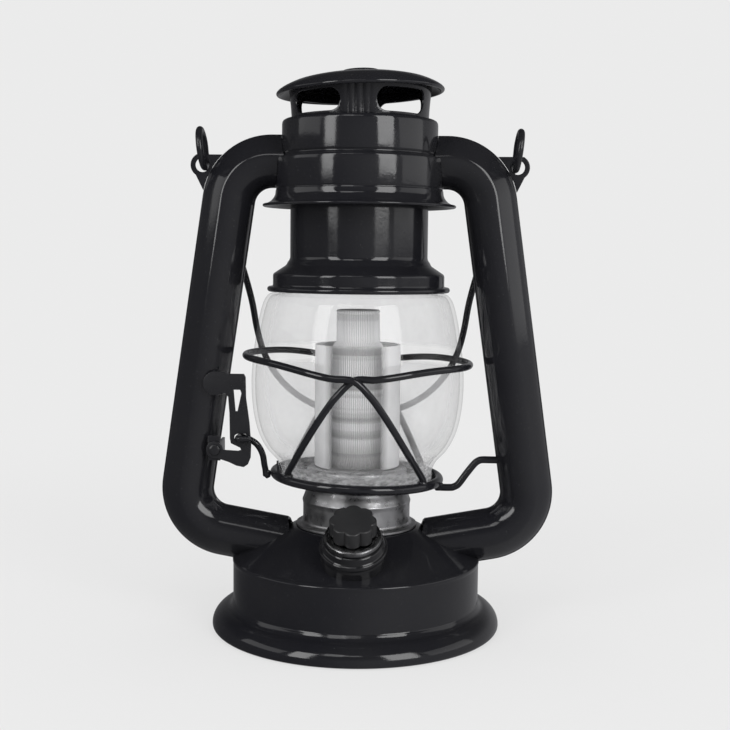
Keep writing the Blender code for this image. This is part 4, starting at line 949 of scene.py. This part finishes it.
def tube_section(half):
    """Outer and inner lines of one stamping, from the outer seam round to the inner seam.

    The stamping is drawn to a slightly flattened front with a soft crease on each side of it.
    """
    def line(wide, deep, count, flat):
        """A half ellipse whose outer side is drawn towards the chord from seam to crease."""
        points = []
        crease_b = deep * math.sqrt(1.0 - (TUBE_CREASE / wide) ** 2)
        for index in range(count + 1):
            a = wide * math.cos(math.pi * index / count)
            b = deep * math.sin(math.pi * index / count)
            if a > TUBE_CREASE:
                chord = crease_b * (wide - a) / (wide - TUBE_CREASE)
                b += (chord - b) * flat
            points.append((a, 0.12 + b))
        return points
    outer = line(TUBE_HALF_WIDTH - 0.35, TUBE_HALF_DEPTH - 0.1, 48, TUBE_FLAT)
    edge = TUBE_HALF_WIDTH
    outer = [(edge, 0.12), (edge, 0.7), (edge - 0.35, 0.95)] + [point for point in outer if point[1] > 1.1]
    outer += [(-edge + 0.35, 0.95), (-edge, 0.7), (-edge, 0.12)]
    inner = list(reversed(line(TUBE_HALF_WIDTH - 0.35 - SHEET, TUBE_HALF_DEPTH - SHEET, 14, TUBE_FLAT)))
    return [(a, b * half) for a, b in outer + inner]


def hood_r(z):
    """Outer radius of the hood at a height, for the tubes' ends."""
    if z > HOOD_STEP_Z + 1.2:
        return HOOD_UPPER_R
    if z < HOOD_STEP_Z - 0.8:
        return HOOD_LOWER_R
    share = (z - HOOD_STEP_Z + 0.8) / 2.0
    return HOOD_LOWER_R + (HOOD_UPPER_R - HOOD_LOWER_R) * share


def tube_half(name, node, side, half):
    """One stamping, its upper end fitted to the hood and its lower end to the base."""
    path = tube_path()
    section = tube_section(half)
    verts = []
    count = len(path)
    size = len(section)
    down = (math.cos(TUBE_LOWER_SLOPE), math.sin(TUBE_LOWER_SLOPE))
    for index, (x, z) in enumerate(path):
        before = Vector(path[max(0, index - 1)])
        after = Vector(path[min(count - 1, index + 1)])
        along = (after - before).normalized()
        if index == 0:
            along = Vector((1.0, 0.0))
        if index == count - 1:
            along = Vector((-down[0], -down[1]))
        outward = Vector((-along.y, along.x))
        for a, b in section:
            spot = Vector((x, z)) + outward * a
            if index == 0:
                spot.x = math.sqrt(max(0.0, hood_r(spot.y) ** 2 - b * b)) + 0.12
            if index == count - 1:
                for _ in range(260):
                    if math.hypot(spot.x, b) <= base_r(spot.y) + 0.15:
                        break
                    spot = spot + along * 0.15
            verts.append((side * spot.x, b, spot.y))
    faces = []
    for index in range(count - 1):
        for step in range(size):
            after = (step + 1) % size
            here, there = index * size, (index + 1) * size
            faces.append((here + step, here + after, there + after, there + step))
    for base_index in (0, (count - 1) * size):
        half_size = size - 15
        for step in range(half_size - 1):
            other = size - 1 - round(step * 14 / (half_size - 1))
            other_next = size - 1 - round((step + 1) * 14 / (half_size - 1))
            face = [base_index + step, base_index + step + 1, base_index + other_next]
            if other != other_next:
                face.append(base_index + other)
            faces.append(tuple(face))
    mesh = mesh_of(name, verts, faces)
    enamelled(name, mesh, node, sharp=32.0)


def ear(word, side):
    shoulder = math.degrees(math.asin((EAR_TOP_Z - EAR_HOLE[1]) / EAR_R))
    outline = arc((TUBE_BEND_X, TUBE_BEND_Z), TUBE_BEND_R + TUBE_HALF_WIDTH + 0.25, 12.0, 45.0, 12)
    outline.append((57.4, EAR_TOP_Z))
    outline += arc(EAR_HOLE, EAR_R, shoulder, -55.0, 16)
    outline = [(side * x, z) for x, z in outline]
    hole = [(side * x, z) for x, z in arc(EAR_HOLE, EAR_HOLE_R, 0.0, 345.0, 23)]
    if side < 0:
        outline.reverse()
        hole.reverse()
    mesh = plate_mesh("ear", outline, 1.0, [hole], 0.2)
    mesh.transform(UPRIGHT)
    enamelled("ear_%s_stamped" % word, mesh, "ear_" + word)


# ---- hood, crown and cap ---------------------------------------------------------------------
def hood():
    outer = [(25.6, HOOD_TOP_Z), (HOOD_UPPER_R, HOOD_TOP_Z, 1.9), (HOOD_UPPER_R, HOOD_STEP_Z + 2.6, 0.5),
             (HOOD_UPPER_R - 0.35, HOOD_STEP_Z + 2.0, 0.3), (HOOD_UPPER_R - 0.2, HOOD_STEP_Z + 1.3, 0.4),
             (HOOD_UPPER_R + 1.7, HOOD_STEP_Z + 0.7, 0.4), (HOOD_LOWER_R - 0.1, HOOD_STEP_Z + 0.1, 0.5),
             (HOOD_LOWER_R, HOOD_STEP_Z - 1.0, 0.6), (HOOD_LOWER_R, 181.6, 0.3),
             (HOOD_LOWER_R - 0.2, 181.1, 0.2), (HOOD_LOWER_R + 0.05, 180.5, 0.2),
             (HOOD_LOWER_R + 0.3, 178.2, 1.4), (HOOD_LOWER_R + 2.0, 176.0, 1.0),
             (HOOD_LIP_R - 1.2, 174.9, 0.5)]
    lip = arc((HOOD_LIP_R - 0.6, HOOD_LIP_Z + 0.55), 0.6, 70.0, -120.0, 8)
    inner = [(HOOD_LOWER_R + 2.3, 174.6), (HOOD_LOWER_R + 0.6, 176.1), (HOOD_LOWER_R - 0.5, 178.1),
             (HOOD_LOWER_R - SHEET, 180.6), (HOOD_LOWER_R - SHEET, HOOD_STEP_Z - 1.4),
             (HOOD_UPPER_R - SHEET, HOOD_STEP_Z - 0.2), (HOOD_UPPER_R - SHEET, HOOD_TOP_Z - 2.6),
             (HOOD_UPPER_R - 2.8, HOOD_TOP_Z - SHEET), (25.6, HOOD_TOP_Z - SHEET)]
    mesh = turned_mesh("hood", rounded(outer) + lip + inner)
    enamelled("hood_spun", mesh, "hood")


def crown():
    """The slotted ring under the cap: four windows with flared, rounded legs between them."""
    low = HOOD_TOP_Z + 0.3
    turns = 320
    levels = 26
    window_turn = math.radians(39.5)     # from the front or the back to the middle of a window
    window_half = math.radians(24.5)
    window_low, window_high = low + 1.2, 219.2

    def rib(angle):
        """Three upright ribs pressed into the front and back legs."""
        from_leg = math.degrees(math.asin(max(-1.0, min(1.0, math.cos(angle)))))
        fade = max(0.0, 1.0 - (abs(from_leg) / 11.0) ** 4)
        return -0.6 * fade * (0.5 - 0.5 * math.cos(math.radians(from_leg * 360.0 / 6.5)))

    verts = []
    for level in range(levels + 1):
        share = level / levels
        z = low + (CROWN_TOP_Z - low) * share
        wide = CROWN_FOOT_R + (CROWN_R - CROWN_FOOT_R) * share - 0.2 * math.sin(math.pi * share)
        for turn in range(turns):
            angle = 2.0 * math.pi * turn / turns
            r = wide + rib(angle)
            verts.append((r * math.cos(angle), r * math.sin(angle), z))

    def is_open(angle, z):
        if not window_low < z < window_high:
            return False
        from_front = math.asin(min(1.0, abs(math.cos(angle))))
        reach = (window_high - window_low) / 2.0
        corner = 3.6
        up = max(0.0, abs(z - (window_high + window_low) / 2.0) - (reach - corner))
        flare = (corner - math.sqrt(max(0.0, corner ** 2 - up ** 2))) / CROWN_R
        return abs(from_front - window_turn) < window_half - flare

    faces = []
    for level in range(levels):
        z = low + (CROWN_TOP_Z - low) * (level + 0.5) / levels
        for turn in range(turns):
            if is_open(2.0 * math.pi * (turn + 0.5) / turns, z):
                continue
            here = level * turns + turn
            after = level * turns + (turn + 1) % turns
            faces.append((here, after, after + turns, here + turns))
    skin = mesh_of("crown_skin", verts, faces)
    shape = bmesh.new()
    shape.from_mesh(skin)
    bmesh.ops.delete(shape, geom=[v for v in shape.verts if not v.link_faces], context="VERTS")
    edge = [e for e in shape.edges if len(e.link_faces) == 1]
    corners = {v for e in edge for v in e.verts if low * MM + 1e-4 < v.co.z < CROWN_TOP_Z * MM - 1e-4}
    for _ in range(8):
        spots = {}
        for vert in corners:
            near = [e.other_vert(vert) for e in vert.link_edges if len(e.link_faces) == 1]
            mean = sum((n.co for n in near), Vector()) / len(near)
            spots[vert] = vert.co.lerp(mean, 0.5)
        for vert, spot in spots.items():
            vert.co = spot
    shape.to_mesh(skin)
    shape.free()
    holder = placed("crown_skin", skin)
    wall = holder.modifiers.new("wall", "SOLIDIFY")
    wall.thickness = SHEET * MM
    wall.offset = 1.0
    wall.use_even_offset = True
    soften = holder.modifiers.new("soften", "BEVEL")
    soften.width = 0.18 * MM
    soften.segments = 2
    soften.angle_limit = math.radians(60.0)
    wall_mesh = evaluated_mesh(holder)
    flange = rounded([(CROWN_FOOT_R - 0.3, low), (CROWN_FOOT_R - 0.3, low + 0.8),
                      (CROWN_FOOT_R - 1.9, low + 0.8, 0.3), (CROWN_FOOT_R - 1.9, low)])
    foot = turned_mesh("crown_foot", flange)
    mesh = slanted(joined("crown", wall_mesh, foot), CAP_SLANT, low, CROWN_TOP_Z)
    enamelled("crown_pierced", mesh, "crown")


def cap():
    seat_z = CAP_TOP_Z - 0.6
    dome = smooth_path([(DISC_R + 1.5, CAP_TOP_Z - 0.05, 0.0), (12.5, CAP_TOP_Z - 0.45, 0.0),
                        (19.0, CAP_TOP_Z - 1.4, 0.0), (26.0, CAP_TOP_Z - 3.0, 0.0),
                        (31.0, CAP_TOP_Z - 5.1, 0.0), (CAP_R - 0.8, CAP_RIM_Z + 1.7, 0.0)], 5)
    outer = rounded([(0.0, seat_z), (DISC_R + 0.7, seat_z, 0.3), (DISC_R + 1.2, CAP_TOP_Z - 0.15, 0.3)])
    outer += [(spot.x, spot.y) for spot in dome]
    rim = arc((CAP_R - 0.85, CAP_RIM_Z + 0.5), 0.85, 40.0, -130.0, 10)
    inner = [(CAP_R - 1.6, CAP_RIM_Z + 0.4), (CAP_R - 3.8, CAP_TOP_Z - 5.9), (25.6, CAP_TOP_Z - 3.8),
             (18.8, CAP_TOP_Z - 2.3), (12.4, CAP_TOP_Z - 1.3), (DISC_R + 1.4, CAP_TOP_Z - 1.0),
             (DISC_R + 0.7, seat_z - SHEET), (0.0, seat_z - SHEET)]
    mesh = slanted(turned_mesh("cap", outer + rim + inner, closed=False), CAP_SLANT)
    enamelled("cap_spun", mesh, "cap")
    low = seat_z + 0.25
    line = rounded([(0.0, low + 1.25), (3.4, low + 1.25, 0.3), (4.0, low + 1.45, 0.3),
                    (DISC_R - 0.7, low + 1.45, 0.5), (DISC_R, low + 0.9, 0.3), (DISC_R, low), (0.0, low)])
    disc = slanted(turned_mesh("disc", line, 96, closed=False), CAP_SLANT)
    enamelled("disc_riveted", disc, "cap_disc")


# ---- bail ------------------------------------------------------------------------------------
def bail():
    lean = math.radians(BAIL_LEAN)
    out = Vector((0.0, math.cos(lean), math.sin(lean)))
    down = Vector((0.0, math.sin(lean), -math.cos(lean)))
    arm = [(64.2, 7.0), (61.8, 16.0), (57.4, 32.0), (51.6, 51.0), (47.6, 68.0), (45.6, 82.0),
           (43.0, 93.0), (38.6, 102.4), (32.4, 110.4), (24.6, 116.6), (15.6, 120.8), (5.4, 122.8)]
    half = []
    for index in range(12):
        turn = math.radians(302.0 + (BAIL_LEAN - 302.0) * index / 11.0)
        height = BAIL_RING_R * math.sin(turn)
        half.append((EAR_HOLE[0] + BAIL_RING_SPLAY * height, BAIL_RING_R * math.cos(turn), height))
    for x, along in arm:
        spot = out * BAIL_RING_R + down * along
        half.append((x, spot[1], spot[2]))
    points = half + [(-x, y, z) for x, y, z in reversed(half)]
    points = [(x, y, z + BAIL_AXIS_Z) for x, y, z in points]
    enamelled("bail_wire", wire_mesh("bail", points, WIRE_R, 5), "bail", "handle", gloss=0.2)


# ---- finishes of the CAD nodes that stay ------------------------------------------------------
def finish_nodes():
    jacket = Paint("cell_jacket_film")
    jacket.bump(jacket.noise(1.4), 0.02)
    jacket.set(Metallic=0.5)
    film = jacket.finish(jacket.ramp(jacket.noise(8.0), (0.05, 0.055, 0.07), (0.07, 0.075, 0.09)),
                         jacket.span(jacket.noise(3.0), 0.22, 0.36))
    board = Paint("board_green")
    tracks = board.node("ShaderNodeTexBrick", board.place, (0.012, 0.085, 0.035), (0.016, 0.11, 0.045),
                        (0.03, 0.17, 0.07), 420.0)
    board.bump(tracks.outputs["Fac"], 0.03)
    green = board.finish(tracks.outputs["Color"], board.span(board.noise(2.0), 0.25, 0.45))
    plated = sheet_metal("plated_small", 0.34, 0.5, 0.3, blotch_mm=3.0)
    contact = sheet_metal("contact_plated", 0.42, 0.58, 0.24, (1.0, 6.0, 1.0), 3.0)
    tray = moulding("tray_black", (0.013, 0.013, 0.014), (0.020, 0.020, 0.021), 0.5, 0.3, 0.03)
    door = moulding("door_black", (0.014, 0.014, 0.015), (0.022, 0.022, 0.023), 0.46, 0.3, 0.03)
    control = moulding("control_grey", (0.05, 0.05, 0.052), (0.07, 0.07, 0.072), 0.4)
    red = moulding("lead_red", (0.32, 0.012, 0.010), (0.42, 0.018, 0.014), 0.42, 0.5, 0.01)
    black = moulding("lead_black", (0.010, 0.010, 0.010), (0.016, 0.016, 0.016), 0.42, 0.5, 0.01)
    finishes = {"battery_tray": tray, "battery_door": door, "door_hinge_pin": plated,
                "dimmer_control": control, "dimmer_shaft": plated, "driver_board": green,
                "lamp_lead_plus": red, "lamp_lead_minus": black}
    for number in range(1, 5):
        finishes["cell_%d" % number] = film
        finishes["contact_spring_%d" % number] = contact
    for number in range(1, 6):
        finishes["contact_plate_%d" % number] = contact
    for node, mat in finishes.items():
        mesh = frame["nodes"][node].data
        mesh.materials.clear()
        mesh.materials.append(mat)


# ---- stage, lights and camera ----------------------------------------------------------------
BACKDROP = 0.832             # linear tone of the pale background
FLOOR_GLOW = 0.60            # the floor's own light near the lantern, where lamps add the rest
FLOOR_ALBEDO = 0.20


def floor():
    """A pale disc that glows and takes a soft shadow near the lantern, and only glows further out."""
    mesh = bpy.data.meshes.new("floor")
    shape = bmesh.new()
    bmesh.ops.create_circle(shape, cap_ends=True, segments=96, radius=6.0)
    shape.to_mesh(mesh)
    shape.free()
    made = placed("floor", mesh)
    made.location.z = -0.0002
    made.visible_glossy = False
    mat = bpy.data.materials.new("pale_floor")
    mat.use_nodes = True
    graph = Graph(mat.node_tree)
    graph.tree.nodes.clear()
    place = graph.node("ShaderNodeTexCoord").outputs["Object"]
    length = graph.node("ShaderNodeVectorMath", place, operation="LENGTH").outputs["Value"]
    near = graph.span(length, FLOOR_GLOW, BACKDROP, 0.12, 0.60, "SMOOTHSTEP")
    glow = graph.node("ShaderNodeEmission", (1.0, 1.0, 1.0), near).outputs[0]
    matte = graph.node("ShaderNodeBsdfDiffuse", (FLOOR_ALBEDO, FLOOR_ALBEDO, FLOOR_ALBEDO)).outputs[0]
    lit = graph.node("ShaderNodeAddShader", glow, matte).outputs[0]
    faded = graph.shader_mix(graph.span(length, 0.0, 1.0, 0.12, 0.60, "SMOOTHSTEP"), lit, glow)
    graph.node("ShaderNodeOutputMaterial", faded)
    mesh.materials.append(mat)


def world():
    """Pale all round for the camera and for soft light, and a dim studio in the reflections."""
    sky = bpy.data.worlds.new("studio")
    bpy.context.scene.world = sky
    sky.use_nodes = True
    graph = Graph(sky.node_tree)
    pale = graph.tree.nodes["Background"]
    pale.inputs["Color"].default_value = (1.0, 1.0, 1.0, 1.0)
    pale.inputs["Strength"].default_value = BACKDROP
    place = graph.apart(graph.node("ShaderNodeTexCoord").outputs["Generated"])
    across = graph.span(place["X"], 0.06, 0.34, -0.9, 0.7, "SMOOTHSTEP")
    upward = graph.span(place["Z"], 1.0, 0.10, 0.10, 0.55, "SMOOTHSTEP")
    tone = graph.maths("MULTIPLY", across, upward)
    room = graph.node("ShaderNodeBackground", (0.97, 0.97, 1.0), tone).outputs[0]
    mirrored = graph.node("ShaderNodeLightPath").outputs["Is Glossy Ray"]
    both = graph.shader_mix(mirrored, pale.outputs[0], room)
    graph.feed(both, graph.tree.nodes["World Output"].inputs["Surface"])


def softbox(name, azimuth, elevation, distance, width, height, tone, aim=(0.0, 0.0, 0.15)):
    """An area light seen from the lantern at an azimuth (0 is the front, + is right)."""
    turn, rise = math.radians(azimuth), math.radians(elevation)
    out = Vector((math.sin(turn) * math.cos(rise), -math.cos(turn) * math.cos(rise), math.sin(rise)))
    lamp_data = bpy.data.lights.new(name, "AREA")
    lamp_data.shape = "RECTANGLE"
    lamp_data.size = width
    lamp_data.size_y = height
    lamp_data.energy = tone * math.pi * width * height
    made = placed(name, lamp_data)
    made.location = Vector(aim) + out * distance
    made.rotation_euler = out.to_track_quat("Z", "Y").to_euler()
    made.visible_camera = False
    made.visible_transmission = False
    return made


def panel(name, left, right, low, high, tone, distance=1.5):
    """A softbox that fills those azimuths and elevations as seen from the middle of the lantern."""
    middle = (left + right) / 2.0, (low + high) / 2.0
    width = 2.0 * distance * math.tan(math.radians(right - left) / 2.0)
    height = 2.0 * distance * math.tan(math.radians(high - low) / 2.0)
    softbox(name, middle[0], middle[1], distance, width, height, tone)


def lights():
    panel("key_right", 27.0, 51.0, 4.0, 40.0, 4.8)
    panel("strip_left", -50.0, -34.0, 4.0, 40.0, 4.8)
    panel("overhead_left", -25.0, -11.0, 34.0, 48.0, 2.2)
    panel("overhead_middle", -9.0, 5.0, 37.0, 43.0, 2.0)
    panel("fill_right", 60.0, 105.0, 2.5, 30.0, 0.65)
    panel("fill_left", -98.0, -58.0, 9.0, 30.0, 0.9)


def camera():
    """The viewpoint: half a metre in front, a little above the middle and a little rolled."""
    distance, height = 0.496, 0.1541
    azimuth, pitch, roll = math.radians(1.6), math.radians(5.19), math.radians(0.6)
    sideways = math.radians(0.3438)
    data = bpy.data.cameras.new("camera")
    data.sensor_width = 36.0
    data.lens = 59.178
    data.clip_start, data.clip_end = 0.01, 50.0
    outward = Vector((math.sin(azimuth), -math.cos(azimuth), 0.0))
    right = Vector((math.cos(azimuth), math.sin(azimuth), 0.0))
    ahead = -outward * math.cos(pitch) - Vector((0.0, 0.0, math.sin(pitch)))
    turn = Matrix((right, right.cross(ahead), -ahead)).transposed() @ Matrix.Rotation(roll, 3, "Z")
    turn = Matrix.Rotation(-sideways, 3, "Z") @ turn
    made = placed("camera", data)
    spot = outward * distance + Vector((0.0, 0.0, height))
    made.matrix_world = Matrix.Translation(spot) @ turn.to_4x4()
    bpy.context.scene.camera = made



base()
dimmer()
burner()
light()
globe()
chimney()
globe_plate()
guard_wire("guard_inner_wire", "guard_wire_inner", 1, 45.9)
guard_wire("guard_outer_wire", "guard_wire_outer", -1, 49.1)
rods()
lever()
for word, side in (("left", -1), ("right", 1)):
    tube_half("tube_%s_front_half" % word, "tube_%s_front" % word, side, -1)
    tube_half("tube_%s_back_half" % word, "tube_%s_back" % word, side, 1)
    ear(word, side)
hood()
crown()
cap()
bail()
finish_nodes()
floor()
world()
lights()
camera()
bpy.context.scene.view_settings.view_transform = "Standard"
